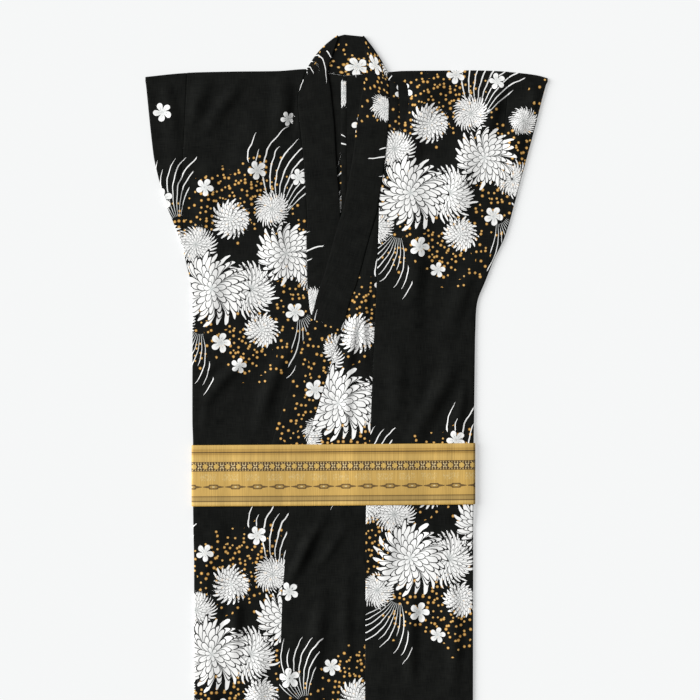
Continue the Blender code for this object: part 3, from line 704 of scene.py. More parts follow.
def neck_fold(band, sign, bulge, extra):
    """The slanted fold where a collar leg turns under to pass behind the neck."""
    bend = (0.5 + extra) * LAYER
    lean = math.radians(band.tilt)
    along = Vector((-sign * math.cos(lean), math.sin(lean), 0.0))
    outward = Vector((sign * math.sin(lean), math.cos(lean), 0.0))
    corner = Vector((band.outer, band.up, mid_height(MIDDLE_UNDER + 0.5, band.up)))
    rows = []
    for turned in HALF_TURN:
        normal = outward * math.sin(turned) + FACE_UP * math.cos(turned)
        row = []
        for distance in flat_columns(0.0, band.width, COLLAR_COLUMNS):
            inset = 0.5 * WALL + OUTER_BEND - bulge * math.sin(math.pi * distance / band.width)
            middle = corner + along * distance - outward * inset + normal * bend
            row.append(Place(middle, normal, distance, band.up))
        rows.append(row)
    return rows


def neck_back(extra):
    """The upright row behind the neck. The cover reaches on under the back."""
    z = mid_height(MIDDLE_UNDER - extra, UP_TOP)
    low = UP_NECK_BACK + GAP - NECK_TUCK * extra
    return [Place(Vector((CENTRE_BACK, low + distance, z)), -FACE_UP, distance, UP_TOP)
            for distance in flat_columns(0.0, BACK_BAND_HIGH - low, COLLAR_COLUMNS)]


def between(first, last, count):
    """Rows part of the way from one row to another, the last one included."""
    rows = []
    for number in range(1, count + 1):
        share = number / count
        row = []
        for a, b in zip(first, last):
            normal = a.normal.lerp(b.normal, share).normalized()
            row.append(Place(a.middle.lerp(b.middle, share), normal,
                             *(mix(old, new, share) for old, new in zip(a[2:], b[2:]))))
        rows.append(row)
    return rows


def along_the_band(rows):
    """The same rows, with v measured along the middle of the band."""
    middles = [row[len(row) // 2].middle for row in rows]
    measured = []
    length = 0.0
    for row, before, middle in zip(rows, middles[:1] + middles, middles):
        length += (middle - before).length
        measured.append([place._replace(v=length) for place in row])
    return measured


def collar_rows(lowest, extra):
    """A band from the right leg, behind the neck, to the left leg. extra counts layers over the collar."""
    right = collar_leg(COLLAR_RIGHT, lowest, -1.0, underlap_layer, extra)
    left = collar_leg(COLLAR_LEFT, lowest, 1.0, overlap_layer, extra)[::-1]
    right_fold = neck_fold(COLLAR_RIGHT[-1], -1.0, NECK_BULGE_RIGHT, extra)
    left_fold = neck_fold(COLLAR_LEFT[-1], 1.0, NECK_BULGE_LEFT, extra)[::-1]
    behind = neck_back(extra)
    rows = right + between(right[-1], right_fold[0], NECK_FOLD_STEPS) + right_fold[1:]
    rows += between(right_fold[-1], behind, NECK_STEPS)
    rows += between(behind, left_fold[0], NECK_STEPS) + left_fold[1:]
    rows += between(left_fold[-1], left[0], NECK_FOLD_STEPS)[:-1] + left
    return along_the_band(rows)


def sleeve_row(name, side, up, share, high, outward):
    """One station of a sleeve cloth: what shows beside the body, the fold, and the rest turned under."""
    sign = side.sign
    bend = high - SLEEVE_CENTRE_Z
    low = SLEEVE_CENTRE_Z - bend
    inset = SHOULDER_INSET + GAP
    fold = curve_at(side.fold, up)
    turn = fold - sign * (SLEEVE_FRONT_Z - SLEEVE_CENTRE_Z + 0.5 * WALL)
    cuff = sign * (2.0 * abs(side.tip) - abs(line_at(side.seam, UP_ARM)) - SLEEVE_WIDTH)
    if up > UP_ARM:
        start = turn
        row = sleeve_top(name, side, up, share, turn, high, outward)
        row += side_bend(side, turn, row_up(up, share, turn, inset), SLEEVE_CENTRE_Z, bend, outward)
    else:
        start = fold - sign * (line_at(side.strip, up) + SLEEVE_FREE)
        row = [None] * (SLEEVE_TOP_COLUMNS + 2 * len(EDGE_STEPS) + BEND_STEPS)
        row.append(Place(Vector((start, up, low)), FACE_UP * -outward, 2.0 * turn - start, up))
    for step in range(1, SLEEVE_UNDER_COLUMNS + 1):
        across = mix(start, cuff, step / SLEEVE_UNDER_COLUMNS)
        at = row_up(up, share, across, inset)
        u = 2.0 * turn + sign * bend * math.pi - across
        row.append(Place(Vector((across, at, low)), FACE_UP * -outward, u, at))
    return row


def sleeve_top(name, side, up, share, turn, high, outward):
    """The flat places of a sleeve beside the body. Only the front, which looks up, has soft folds."""
    seam = line_at(side.seam, up) + side.sign * SEAM
    row = []
    for across in flat_columns(seam, turn, SLEEVE_TOP_COLUMNS)[:-1]:
        at = row_up(up, share, across, SHOULDER_INSET + GAP)
        near = abs(across - seam)
        lift = drop = 0.0
        if outward > 0.0:
            hold = smooth(ramp(near, 0.0, ARMHOLE_HOLD)) * smooth(ramp(abs(turn - across), 0.0, SEAM_HOLD))
            lift = soft_fold(name, across, up) * (hold * (1.0 - share))
            drop = edge_drop(near)
        row.append(Place(Vector((across, at, high + lift)), FACE_UP * outward, across, at, drop))
    return row


def sleeve_rows(name, side):
    """A sleeve cloth: its front from the bottom up, over the shoulder, and its back down again."""
    levels = [(up, 0.0) for up in stations(UP_SLEEVE_BOTTOM, UP_ARM, step=COARSE)]
    levels += [(up, 0.0) for up in stations(UP_ARM + GAP, UP_CHEST, step=SLEEVE_STEP)]
    levels += [(mix(UP_CHEST, UP_SLEEVE_TOP, share), share) for share in SHOULDER_SHARES]
    rows = [sleeve_row(name, side, *level, SLEEVE_FRONT_Z, 1.0) for level in levels]
    rows += turn_over(rows[-1])
    for level in reversed(levels[:-1]):
        rows.append(down_the_back(sleeve_row(name, side, *level, SLEEVE_BACK_Z, -1.0)))
    return rows


def allowance_rows():
    """The pressed seam allowance down the inside of the back, seen in the opening of the neck."""
    rows = []
    for up in stations(*UP_ALLOWANCE, step=ALLOWANCE_STEP):
        row = []
        for share in ALLOWANCE_SHARES:
            across = mix(*ALLOWANCE_ACROSS, share)
            z = mid_height(back_layer(across, up), up) + 0.5 * WALL + 0.5 * ALLOWANCE_WALL + ALLOWANCE_LIFT
            drop = ALLOWANCE_DROP if share in (0.0, 1.0) else 0.0
            row.append(Place(Vector((across, up, z)), FACE_UP, across + ALLOWANCE_U, up, drop))
        rows.append(down_the_back(row))
    return rows


def belt_bend(end, sign, low):
    """Points of the half round bend at one side, from the low run to the high one."""
    radius = 0.5 * (BELT_SIDE_Z - low)
    centre = end - sign * (radius + 0.5 * BELT_WALL)
    count = 2 * BEND_STEPS
    angles = [math.pi * (step / count - 0.5) for step in range(count + 1)]
    return [(centre + sign * radius * math.cos(a), low + radius + radius * math.sin(a)) for a in angles]


def belt_path():
    """Middle of the belt's wall seen from the hem, from its inner end round to its outer end."""
    low = BELT_WALL + GAP + 0.5 * BELT_WALL
    right = belt_bend(BELT_RIGHT_END, -1.0, low)
    left = belt_bend(BELT_LEFT_END, 1.0, 0.5 * BELT_WALL)
    crown = [right[-1]] + BELT_CROWN + [left[-1]]
    start, end = right[-1][0], left[-1][0]
    path = [(across, low) for across in spread(BELT_INNER_END, right[0][0], COARSE)[:-1]] + right
    for across in spread(start, end, BELT_STEP)[1:-1]:
        inside = smooth(min(ramp(across, start, start + BELT_EASE), ramp(across, end, end - BELT_EASE)))
        path.append((across, curve_at(crown, across) + waver_at(BELT_WAVER, across, BELT_WAVER_UP) * inside))
    path += reversed(left)
    path += [(across, 0.5 * BELT_WALL) for across in spread(left[0][0], BELT_OUTER_END, COARSE)[1:]]
    return path


def belt_rows():
    """The belt's rows from its lower edge to its upper one. u runs along it, v from its upper edge down."""
    path = belt_path()
    lengths = [0.0]
    for (x0, z0), (x1, z1) in zip(path, path[1:]):
        lengths.append(lengths[-1] + math.hypot(x1 - x0, z1 - z0))
    rows = []
    for distance in flat_columns(0.0, BELT_WIDTH, BELT_ROWS):
        row = []
        for number, (across, z) in enumerate(path):
            before = path[max(0, number - 1)]
            after = path[min(len(path) - 1, number + 1)]
            along = Vector((after[0] - before[0], 0.0, after[1] - before[1])).normalized()
            normal = Vector((-along.z, 0.0, along.x))
            up = BELT_UP - 0.5 * BELT_WIDTH + distance + BELT_SLOPE * across
            drop = edge_drop(min(distance, BELT_WIDTH - distance))
            row.append(Place(Vector((across, up, z)), normal, lengths[number], BELT_WIDTH - distance, drop))
        rows.append(row)
    return rows


def local_places(spots, motifs):
    """Corners of each face in the frame of the nearest motif: x and y in radii, and the motif's number."""
    centres = spots.mean(axis=1)
    nearest = np.full(len(spots), np.inf)
    local = np.zeros((len(spots), 4, 3), dtype=np.float32)
    for number, motif in enumerate(motifs):
        turn = math.radians(motif.turn)
        y = centres[:, 1] - motif.y
        shift = np.round(y / PRINT_REPEAT) * PRINT_REPEAT
        distance = np.hypot(centres[:, 0] - motif.x, y - shift) / motif.radius
        closer = distance < nearest
        nearest[closer] = distance[closer]
        dx = (spots[closer, :, 0] - motif.x) / motif.radius
        dy = (spots[closer, :, 1] - motif.y - shift[closer, None]) / motif.radius
        local[closer, :, 0] = dx * math.cos(turn) + dy * math.sin(turn)
        local[closer, :, 1] = dy * math.cos(turn) - dx * math.sin(turn)
        local[closer, :, 2] = number + 1.0
    return local


def gold_share(x, y):
    """How thick the gold dots lie: in drifts beside the large blooms, none far from them."""
    edge = np.full(x.shape, np.inf)
    for motif in FRONT_BLOOMS + BEHIND_BLOOMS:
        away = y - motif.y
        away = away - np.round(away / PRINT_REPEAT) * PRINT_REPEAT
        edge = np.minimum(edge, np.hypot(x - motif.x, away) - motif.radius)
    near = np.clip(DRIFT_THICKEST - np.abs(edge - DRIFT_AWAY) / DRIFT_REACH, 0.0, 1.0)
    swing = np.sin(x * DRIFT_WAVES[0] + DRIFT_STARTS[0]) * np.cos(y * DRIFT_WAVES[1] + DRIFT_STARTS[1])
    drift = DRIFT_MEAN + DRIFT_SWING * swing
    return np.clip(near * drift, 0.0, 1.0)


def vector_attribute(mesh, name, values):
    """Keeps three numbers at each corner of each face."""
    layer = mesh.attributes.new(name, "FLOAT_VECTOR", "CORNER")
    layer.data.foreach_set("vector", np.ascontiguousarray(values, dtype=np.float32).ravel())


def print_cloth(mesh, bolt_place, spots):
    """Lays the print on a piece: where each corner falls on the bolt and in the motifs nearest to it."""
    spots = spots + np.array(bolt_place)
    for layer in PRINT_LAYERS:
        vector_attribute(mesh, layer.name, local_places(spots, layer.motifs))
    x, y = spots[:, :, 0], spots[:, :, 1]
    vector_attribute(mesh, "cloth place", np.dstack([x, y, gold_share(x, y)]))


def weave_belt(mesh, spots):
    """Keeps where each corner of the belt lies: along it, and down from its upper edge."""
    vector_attribute(mesh, "belt place", np.dstack([spots, np.zeros(spots.shape[:2])]))


def place_object(name, data):
    thing = bpy.data.objects.new(name, data)
    bpy.context.scene.collection.objects.link(thing)
    return thing


def build_shell(name, rows, material, wall=WALL):
    """Closes rows of places into a thin shell, its face along the normals. None leaves a place out."""
    points, cloth, index = [], [], {}
    for i, row in enumerate(rows):
        for j, place in enumerate(row):
            if place is None:
                continue
            index[i, j] = len(points)
            points.append(metres(place.middle + place.normal * (0.5 * wall - place.drop)))
            points.append(metres(place.middle - place.normal * (0.5 * wall)))
            cloth += [(place.u, place.v)] * 2

    def whole(i, j):
        return all(corner in index for corner in ((i, j), (i + 1, j), (i, j + 1), (i + 1, j + 1)))

    quads = []
    for i in range(len(rows) - 1):
        for j in range(len(rows[i]) - 1):
            if not whole(i, j):
                continue
            a, b, c, d = index[i, j], index[i + 1, j], index[i + 1, j + 1], index[i, j + 1]
            quads += [(a, b, c, d), (a + 1, d + 1, c + 1, b + 1)]
            around = ((i, j - 1, a, b), (i + 1, j, b, c), (i, j + 1, c, d), (i - 1, j, d, a))
            for row_at, column_at, first, second in around:
                if not whole(row_at, column_at):
                    quads.append((first, first + 1, second + 1, second))
    mesh = bpy.data.meshes.new(name + "_cloth")
    mesh.from_pydata(points, [], quads)
    turn_outwards(mesh)
    mesh.shade_smooth()
    mesh.set_sharp_from_angle(angle=math.radians(SHARP_ANGLE))
    corners = np.empty(len(mesh.loops), dtype=np.int32)
    mesh.loops.foreach_get("vertex_index", corners)
    spots = np.array(cloth)[corners].reshape(-1, 4, 2)
    if name in BOLT_PLACES:
        print_cloth(mesh, BOLT_PLACES[name], spots)
    else:
        weave_belt(mesh, spots)
    mesh.materials.append(material)
    return place_object(name + "_cloth", mesh)


def turn_outwards(mesh):
    """Turns every face outwards and leaves out points that no face uses."""
    bm = bmesh.new()
    bm.from_mesh(mesh)
    bmesh.ops.delete(bm, geom=[v for v in bm.verts if not v.link_faces], context="VERTS")
    bmesh.ops.recalc_face_normals(bm, faces=bm.faces)
    bm.to_mesh(mesh)
    bm.free()


def linear(colour):
    """An sRGB hex colour as the linear light that a shader takes."""
    parts = [int(colour[place:place + 2], 16) / 255.0 for place in (1, 3, 5)]
    light = [part / 12.92 if part <= 0.04045 else ((part + 0.055) / 1.055) ** 2.4 for part in parts]
    return (*light, 1.0)


def add(tree, kind, inputs=(), **settings):
    """Adds a node with its settings and fills its inputs, from a node, a socket, a number or a hex colour.

    A kind in capitals is the operation of a Math node.
    """
    if kind.isupper():
        kind, settings["operation"] = "ShaderNodeMath", kind
    made = tree.nodes.new(kind)
    for name, value in settings.items():
        setattr(made, name, value)
    for key, value in inputs.items() if isinstance(inputs, dict) else enumerate(inputs):
        source = value.outputs[0] if isinstance(value, bpy.types.Node) else value
        if isinstance(source, bpy.types.NodeSocket):
            tree.links.new(source, made.inputs[key])
        else:
            made.inputs[key].default_value = linear(source) if isinstance(source, str) else source
    return made


def new_material(name):
    """A material with an empty tree of nodes."""
    material = bpy.data.materials.new(name)
    material.use_nodes = True
    material.node_tree.nodes.clear()
    return material, material.node_tree


def new_group(name, kind, inputs, outputs):
    """A group of nodes with named inputs and outputs, each given with its kind of socket."""
    tree = bpy.data.node_groups.new(name, kind)
    for way, sockets in (("INPUT", inputs), ("OUTPUT", outputs)):
        for socket, socket_kind in sockets:
            tree.interface.new_socket(socket, in_out=way, socket_type="NodeSocket" + socket_kind)
    return tree, add(tree, "NodeGroupInput").outputs


def squared_distance(tree, x, y):
    return add(tree, "MULTIPLY_ADD", [x, x, add(tree, "MULTIPLY", [y, y])])


def drawn_noise(tree, spot, waves, detail, roughness=0.5):
    """Noise drawn out into streaks, with its own number of waves a millimetre in each direction."""
    drawn = add(tree, "ShaderNodeVectorMath", [spot, (*waves, 0.0)], operation="MULTIPLY")
    return add(tree, "ShaderNodeTexNoise",
               {"Vector": drawn, "Scale": 1.0, "Detail": detail, "Roughness": roughness})


def lay_over(tree, under, over, share):
    """What shows where one value covers another by a share."""
    change = add(tree, "SUBTRACT", [over, under])
    return add(tree, "MULTIPLY_ADD", [change, share, under])


def petal_ring():
    """A group that draws a ring of petals: the petals, what they cover with an outline, and their shade."""
    sizes = ("Radius", "Turn", "Seed", "Petals", "Reach", "Width", "Ragged", "Vein")
    tree, given = new_group("ring of petals", "ShaderNodeTree", [(size, "Float") for size in sizes],
                            [(drawn, "Float") for drawn in ("Petal", "Cover", "Shade")])
    turns = add(tree, "MULTIPLY_ADD", [given["Turn"], given["Petals"], given["Seed"]])
    count = add(tree, "FLOOR", [turns])
    number = add(tree, "FLOORED_MODULO", [count, given["Petals"]])
    key = add(tree, "MULTIPLY_ADD", [given["Seed"], SEED_STEP, number])
    chance = add(tree, "ShaderNodeTexWhiteNoise", {"W": key}, noise_dimensions="1D")
    lost = add(tree, "MULTIPLY", [chance, given["Ragged"]])
    share = add(tree, "SUBTRACT", [1.0, lost])
    tip = add(tree, "MULTIPLY", [share, given["Reach"]])
    along = add(tree, "DIVIDE", [given["Radius"], tip])
    part = add(tree, "FRACT", [turns])
    beside = add(tree, "ABSOLUTE", [add(tree, "SUBTRACT", [part, 0.5])])
    limits = []
    for stretch in (1.0, OUTLINE_LENGTH):
        near = add(tree, "MULTIPLY", [along, stretch], use_clamp=True)
        power = add(tree, "POWER", [near, PETAL_BLUNTNESS])
        rest = add(tree, "SUBTRACT", [1.0, power])
        bow = add(tree, "SQRT", [rest])
        limits.append(add(tree, "MULTIPLY", [bow, given["Width"]]))
    inside = add(tree, "LESS_THAN", [beside, limits[0]])
    narrow = add(tree, "MULTIPLY", [beside, OUTLINE_WIDTH])
    cover = add(tree, "LESS_THAN", [narrow, limits[1]])
    fade = add(tree, "MULTIPLY_ADD", [along, HEART_FADE, 1.0], use_clamp=True)
    vein = add(tree, "MULTIPLY", [fade, given["Vein"]])
    clear = add(tree, "GREATER_THAN", [beside, vein])
    petal = add(tree, "MULTIPLY", [inside, clear])
    add(tree, "NodeGroupOutput", {"Petal": petal, "Cover": cover, "Shade": fade})
    return tree


def draw_motifs(tree, ring, layer, uneven):
    """The rings of one layer of the print. Returns its white, its cover and its shade."""
    motif = add(tree, "ShaderNodeAttribute", attribute_name=layer.name).outputs["Vector"]
    x, y, seed = add(tree, "ShaderNodeSeparateXYZ", [motif]).outputs
    squares = squared_distance(tree, y, x)
    distance = add(tree, "SQRT", [squares])
    radius = add(tree, "MULTIPLY_ADD", [uneven, RADIUS_WAVER, distance])
    angle = add(tree, "ARCTAN2", [y, x])
    turn = add(tree, "MULTIPLY", [angle, 1.0 / FULL_TURN])
    curl = add(tree, "MULTIPLY_ADD", [squares, layer.swirl, turn])
    bent = add(tree, "MULTIPLY_ADD", [uneven, layer.waver, curl])
    white = cover = shade = None
    for number, petals in enumerate(layer.rings):
        ring_seed = add(tree, "ADD", [seed, RING_SEED_STEP * number])
        drawn = add(tree, "ShaderNodeGroup", {
            "Radius": radius, "Turn": bent, "Seed": ring_seed, "Petals": float(petals.petals),
            "Reach": petals.reach, "Width": petals.width, "Ragged": petals.ragged, "Vein": petals.vein},
            node_tree=ring).outputs
        if white is None:
            cover, shade = drawn["Cover"], drawn["Shade"]
            white = add(tree, "MULTIPLY", [drawn["Petal"], cover])
            continue
        white = lay_over(tree, white, drawn["Petal"], drawn["Cover"])
        shade = lay_over(tree, shade, drawn["Shade"], drawn["Cover"])
        cover = add(tree, "MAXIMUM", [cover, drawn["Cover"]])
    if layer.sector is not None:
        beside = add(tree, "ABSOLUTE", [turn])
        inside = add(tree, "LESS_THAN", [beside, layer.sector])
        clear = add(tree, "GREATER_THAN", [distance, GRASS_FOOT])
        kept = add(tree, "MULTIPLY", [inside, clear])
        white, cover = (add(tree, "MULTIPLY", [whole, kept]) for whole in (white, cover))
    return white, cover, shade


def draw_print(tree, uneven):
    """All the layers of white motifs, each laid over those before it. Returns their white and their shade."""
    ring = petal_ring()
    white = shade = None
    for layer in PRINT_LAYERS:
        layer_white, cover, layer_shade = draw_motifs(tree, ring, layer, uneven)
        if white is None:
            white, shade = layer_white, layer_shade
            continue
        white = lay_over(tree, white, layer_white, cover)
        shade = lay_over(tree, shade, layer_shade, cover)
    return white, shade


def draw_dots(tree, flat, share):
    """Gold dots of several sizes, as many as the share asks for. Returns the dots and their colour."""
    dots = add(tree, "ShaderNodeTexVoronoi", {"Vector": flat, "Scale": 1.0 / DOT_SPACING, "Randomness": 0.95},
               feature="F1", voronoi_dimensions="2D")
    chance, growth, _ = add(tree, "ShaderNodeSeparateXYZ", [dots.outputs["Color"]]).outputs
    shown = add(tree, "LESS_THAN", [chance, share])
    size = add(tree, "MULTIPLY_ADD", [growth, DOT_RADIUS[1], DOT_RADIUS[0]])
    reach = add(tree, "MULTIPLY", [size, shown])
    inside = add(tree, "LESS_THAN", [dots.outputs["Distance"], reach])
    rim = add(tree, "MULTIPLY", [dots.outputs["Distance"], DOT_RIM], use_clamp=True)
    leaf = add(tree, "ShaderNodeMix", {SHARE: rim, UNDER: "#EBC683", OVER: "#B5853F"}, data_type="RGBA")
    return inside, leaf.outputs[MIXED]


def printed_cotton():
    """Plain woven cotton, dyed black round white flowers, with gold dots printed on top.

    It gives the eye a flat, dry black with faint slubs and hardly any gloss, and chalky white petals.
    """
    material, tree = new_material("printed plain weave cotton")
    spot = add(tree, "ShaderNodeAttribute", attribute_name="cloth place").outputs["Vector"]
    flat = add(tree, "ShaderNodeVectorMath", [spot, (1.0, 1.0, 0.0)], operation="MULTIPLY")
    uneven = add(tree, "ShaderNodeTexNoise", {"Vector": flat, "Scale": 1.0 / DYE_PATCH, "Detail": 1.0})
    white, shade = draw_print(tree, add(tree, "SUBTRACT", [uneven, 0.5]))
    dots, leaf = draw_dots(tree, flat, add(tree, "ShaderNodeSeparateXYZ", [spot]).outputs[2])
    gold = add(tree, "MULTIPLY", [dots, add(tree, "SUBTRACT", [1.0, white])])

    # Slubs are drawn out along the threads both ways, and the dye is a little uneven between them
    slub_waves = (1.0 / SLUB_WIDE, 1.0 / SLUB_LONG)
    warp, weft = (drawn_noise(tree, flat, waves, 2.0) for waves in (slub_waves, slub_waves[::-1]))
    slubs = add(tree, "ADD", [warp, weft])
    patchy = add(tree, "MULTIPLY_ADD", [uneven, *DYE_SHOWS])
    depth = add(tree, "MULTIPLY_ADD", [slubs, SLUB_SHOWS, patchy], use_clamp=True)
    black = add(tree, "ShaderNodeMix", {SHARE: depth, UNDER: "#0C0D0C", OVER: "#1B1C1A"}, data_type="RGBA")
    shadow = add(tree, "MULTIPLY", [shade, PETAL_SHADOW])
    pale = add(tree, "ShaderNodeMix", {SHARE: shadow, UNDER: "#FAFAF8", OVER: "#C6CBC9"}, data_type="RGBA")
    cloth = add(tree, "ShaderNodeMix", {
        SHARE: white, UNDER: black.outputs[MIXED], OVER: pale.outputs[MIXED]}, data_type="RGBA")
    colour = add(tree, "ShaderNodeMix", {
        SHARE: gold, UNDER: cloth.outputs[MIXED], OVER: leaf}, data_type="RGBA")
    relief = add(tree, "ShaderNodeBump", {"Strength": 0.35, "Distance": 0.4 * MM, "Height": slubs})
    shader = add(tree, "ShaderNodeBsdfPrincipled", {
        "Base Color": colour.outputs[MIXED], "Roughness": 0.8, "IOR": 1.46, "Specular IOR Level": 0.06,
        "Normal": relief})
    add(tree, "ShaderNodeOutputMaterial", {"Surface": shader})
    return material


def repeat_place(tree, along, length, shift):
    """Millimetres from the middle of the nearest repeat along the belt."""
    moved = add(tree, "ADD", [along, shift])
    wrapped = add(tree, "FLOORED_MODULO", [moved, length])
    return add(tree, "SUBTRACT", [wrapped, 0.5 * length])


def from_middle(tree, down, band):
    """How far above or below the middle of a band."""
    return add(tree, "ABSOLUTE", [add(tree, "SUBTRACT", [down, band])])


def flower_band(tree, spot, along, down, colour):
    """A dark band with a row of gold flowers, pale crossed leaves between them and buds at its edges."""
    up_down = add(tree, "SUBTRACT", [down, FLOWER_BAND])
    high = from_middle(tree, down, FLOWER_BAND)
    uneven = add(tree, "ShaderNodeTexNoise", {"Vector": spot, "Scale": 1.0 / FIGURE_GRAIN, "Detail": 1.0})
    band = add(tree, "LESS_THAN", [high, FLOWER_BAND_HALF])
    in_figures = add(tree, "LESS_THAN", [high, FIGURE_HALF])
    ground = add(tree, "ShaderNodeMix", {SHARE: band, UNDER: colour, OVER: "#54402A"}, data_type="RGBA")
    for figure in BELT_FIGURES:
        near = repeat_place(tree, along, FLOWER_REPEAT, figure.shift)
        x = add(tree, "MULTIPLY", [near, figure.squeeze])
        distance = add(tree, "SQRT", [squared_distance(tree, x, up_down)])
        angle = add(tree, "ARCTAN2", [up_down, x])
        wave = add(tree, "COSINE", [add(tree, "MULTIPLY", [angle, figure.lobes])])
        lobed = add(tree, "MULTIPLY_ADD", [wave, figure.swing, figure.base - 0.5 * FIGURE_UNEVEN])
        edge = add(tree, "MULTIPLY_ADD", [uneven, FIGURE_UNEVEN, lobed])
        inside = add(tree, "LESS_THAN", [distance, edge])
        outside_hole = add(tree, "GREATER_THAN", [distance, figure.hole])
        kept = add(tree, "MULTIPLY", [inside, outside_hole])
        shown = add(tree, "MULTIPLY", [kept, in_figures])
        ground = add(tree, "ShaderNodeMix", {
            SHARE: shown, UNDER: ground.outputs[MIXED], OVER: figure.paint}, data_type="RGBA")
    bud_x = repeat_place(tree, along, 0.25 * FLOWER_REPEAT, 0.0)
    bud_y = add(tree, "SUBTRACT", [high, BUD_HIGH])
    bud_edge = add(tree, "MULTIPLY_ADD", [uneven, *BUD_EDGE])
    bud = add(tree, "LESS_THAN", [squared_distance(tree, bud_x, bud_y), bud_edge])
    return add(tree, "ShaderNodeMix", {
        SHARE: bud, UNDER: ground.outputs[MIXED], OVER: "#CDB074"}, data_type="RGBA").outputs[MIXED]


def chain_band(tree, along, down, colour):
    """A row of long rings, each with a small lozenge inside and a spear at both ends."""
    x = add(tree, "ABSOLUTE", [repeat_place(tree, along, CHAIN_REPEAT, 0.0)])
    y = from_middle(tree, down, CHAIN_BAND)
    shapes = []
    for half_long, half_high, slant in CHAIN_RINGS:
        across = add(tree, "MULTIPLY", [x, 1.0 / half_long])
        high = add(tree, "MULTIPLY", [y, 1.0 / half_high])
        corner = add(tree, "MULTIPLY_ADD", [high, slant, across])
        reach = add(tree, "MAXIMUM", [high, corner])
        shapes.append(add(tree, "LESS_THAN", [reach, 1.0]))
    filled = add(tree, "MULTIPLY", [shapes[1], CHAIN_INSIDE])
    ring = add(tree, "SUBTRACT", [shapes[0], filled])
    slanted = add(tree, "MULTIPLY_ADD", [y, LOZENGE_SLOPE, x])
    lozenge = add(tree, "LESS_THAN", [slanted, LOZENGE_HALF])
    taper = add(tree, "MULTIPLY_ADD", [x, *SPEAR_TAPER])
    spear = add(tree, "LESS_THAN", [y, taper])
    beyond = add(tree, "GREATER_THAN", [x, SPEAR[0]])
    before = add(tree, "LESS_THAN", [x, SPEAR[1]])
    tips = add(tree, "MULTIPLY", [spear, add(tree, "MULTIPLY", [beyond, before])])
    dark = add(tree, "MAXIMUM", [ring, tips])
    lined = add(tree, "ShaderNodeMix", {SHARE: dark, UNDER: colour, OVER: "#735B36"}, data_type="RGBA")
    return add(tree, "ShaderNodeMix", {
        SHARE: lozenge, UNDER: lined.outputs[MIXED], OVER: "#EAD7A6"}, data_type="RGBA").outputs[MIXED]


def vine_band(tree, spot, along, down, colour):
    """Pale flecks between the two rows of figures, in groups one repeat of the chain apart."""
    vine = drawn_noise(tree, spot, VINE_WAVES, 1.0)
    in_band = add(tree, "LESS_THAN", [from_middle(tree, down, VINE_BAND), VINE_HALF])
    sprig = add(tree, "ABSOLUTE", [repeat_place(tree, along, CHAIN_REPEAT, SPRIG_SHIFT)])
    in_sprig = add(tree, "LESS_THAN", [sprig, SPRIG_HALF])
    fleck = add(tree, "GREATER_THAN", [vine, VINE_FLECK])
    where = add(tree, "MULTIPLY", [in_band, in_sprig])
    thread = add(tree, "MULTIPLY", [fleck, where])
    faint = add(tree, "MULTIPLY", [thread, VINE_SHOWS])
    return add(tree, "ShaderNodeMix", {
        SHARE: faint, UNDER: colour, OVER: "#EBD7A0"}, data_type="RGBA").outputs[MIXED]


def woven_belt():
    """Ribbed satin weave with brown figure threads: a soft gold gloss, broken up along fine upright ribs."""
    material, tree = new_material("ribbed satin weave")
    spot = add(tree, "ShaderNodeAttribute", attribute_name="belt place").outputs["Vector"]
    along, down, _ = add(tree, "ShaderNodeSeparateXYZ", [spot]).outputs
    lines = add(tree, "ShaderNodeValToRGB", [add(tree, "MULTIPLY", [down, 1.0 / BELT_WIDTH])])
    stops = lines.color_ramp.elements
    while len(stops) < len(BELT_LINES):
        stops.new(0.5)
    for stop, (place, paint) in zip(stops, BELT_LINES):
        stop.position = place / BELT_WIDTH
        stop.color = linear(paint)
    colour = flower_band(tree, spot, along, down, lines.outputs["Color"])
    colour = chain_band(tree, along, down, colour)
    colour = vine_band(tree, spot, along, down, colour)

    # Ribs 1 mm apart, drawn as uneven streaks about 2 mm apart because finer ones don't show. The colour is
    # darkened and lightened along the same streaks as painted shade and light of the ribs
    ribs = drawn_noise(tree, spot, RIB_WAVES, 3.0, 0.7)
    painted_rib_shade = add(tree, "ShaderNodeMapRange", {
        "Value": ribs, "From Min": 0.3, "From Max": 0.7, "To Min": 0.70, "To Max": 1.10})
    # Slow bands along the belt darken and lighten its colour: painted shade and light of its gentle sway
    painted_sway_shade = drawn_noise(tree, spot, SWAY_WAVES, 1.0)
    depth = add(tree, "ShaderNodeMapRange", {
        "Value": painted_sway_shade, "From Min": 0.35, "From Max": 0.65, "To Min": 0.84, "To Max": 1.10})
    light = add(tree, "MULTIPLY", [painted_rib_shade, depth])
    shaded = add(tree, "ShaderNodeVectorMath", {0: colour, "Scale": light}, operation="SCALE")
    relief = add(tree, "ShaderNodeBump", {"Strength": 0.4, "Distance": 0.5 * MM, "Height": ribs})
    shader = add(tree, "ShaderNodeBsdfPrincipled", {
        "Base Color": shaded, "Roughness": 0.6, "IOR": 1.5, "Specular IOR Level": 0.22, "Normal": relief})
    add(tree, "ShaderNodeOutputMaterial", {"Surface": shader})
    return material


def black_thread():
    """Twisted cotton sewing thread, a faint round gloss on black."""
    material, tree = new_material("twisted cotton thread")
    place = add(tree, "ShaderNodeTexCoord")
    twist = add(tree, "ShaderNodeTexNoise", {"Vector": place.outputs["Object"], "Scale": TWISTS_A_METRE})
    colour = add(tree, "ShaderNodeMix", {SHARE: twist, UNDER: "#0E0F0F", OVER: "#181918"}, data_type="RGBA")
    shader = add(tree, "ShaderNodeBsdfPrincipled", {
        "Base Color": colour.outputs[MIXED], "Roughness": 0.75, "IOR": 1.5, "Specular IOR Level": 0.08})
    add(tree, "ShaderNodeOutputMaterial", {"Surface": shader})
    return material


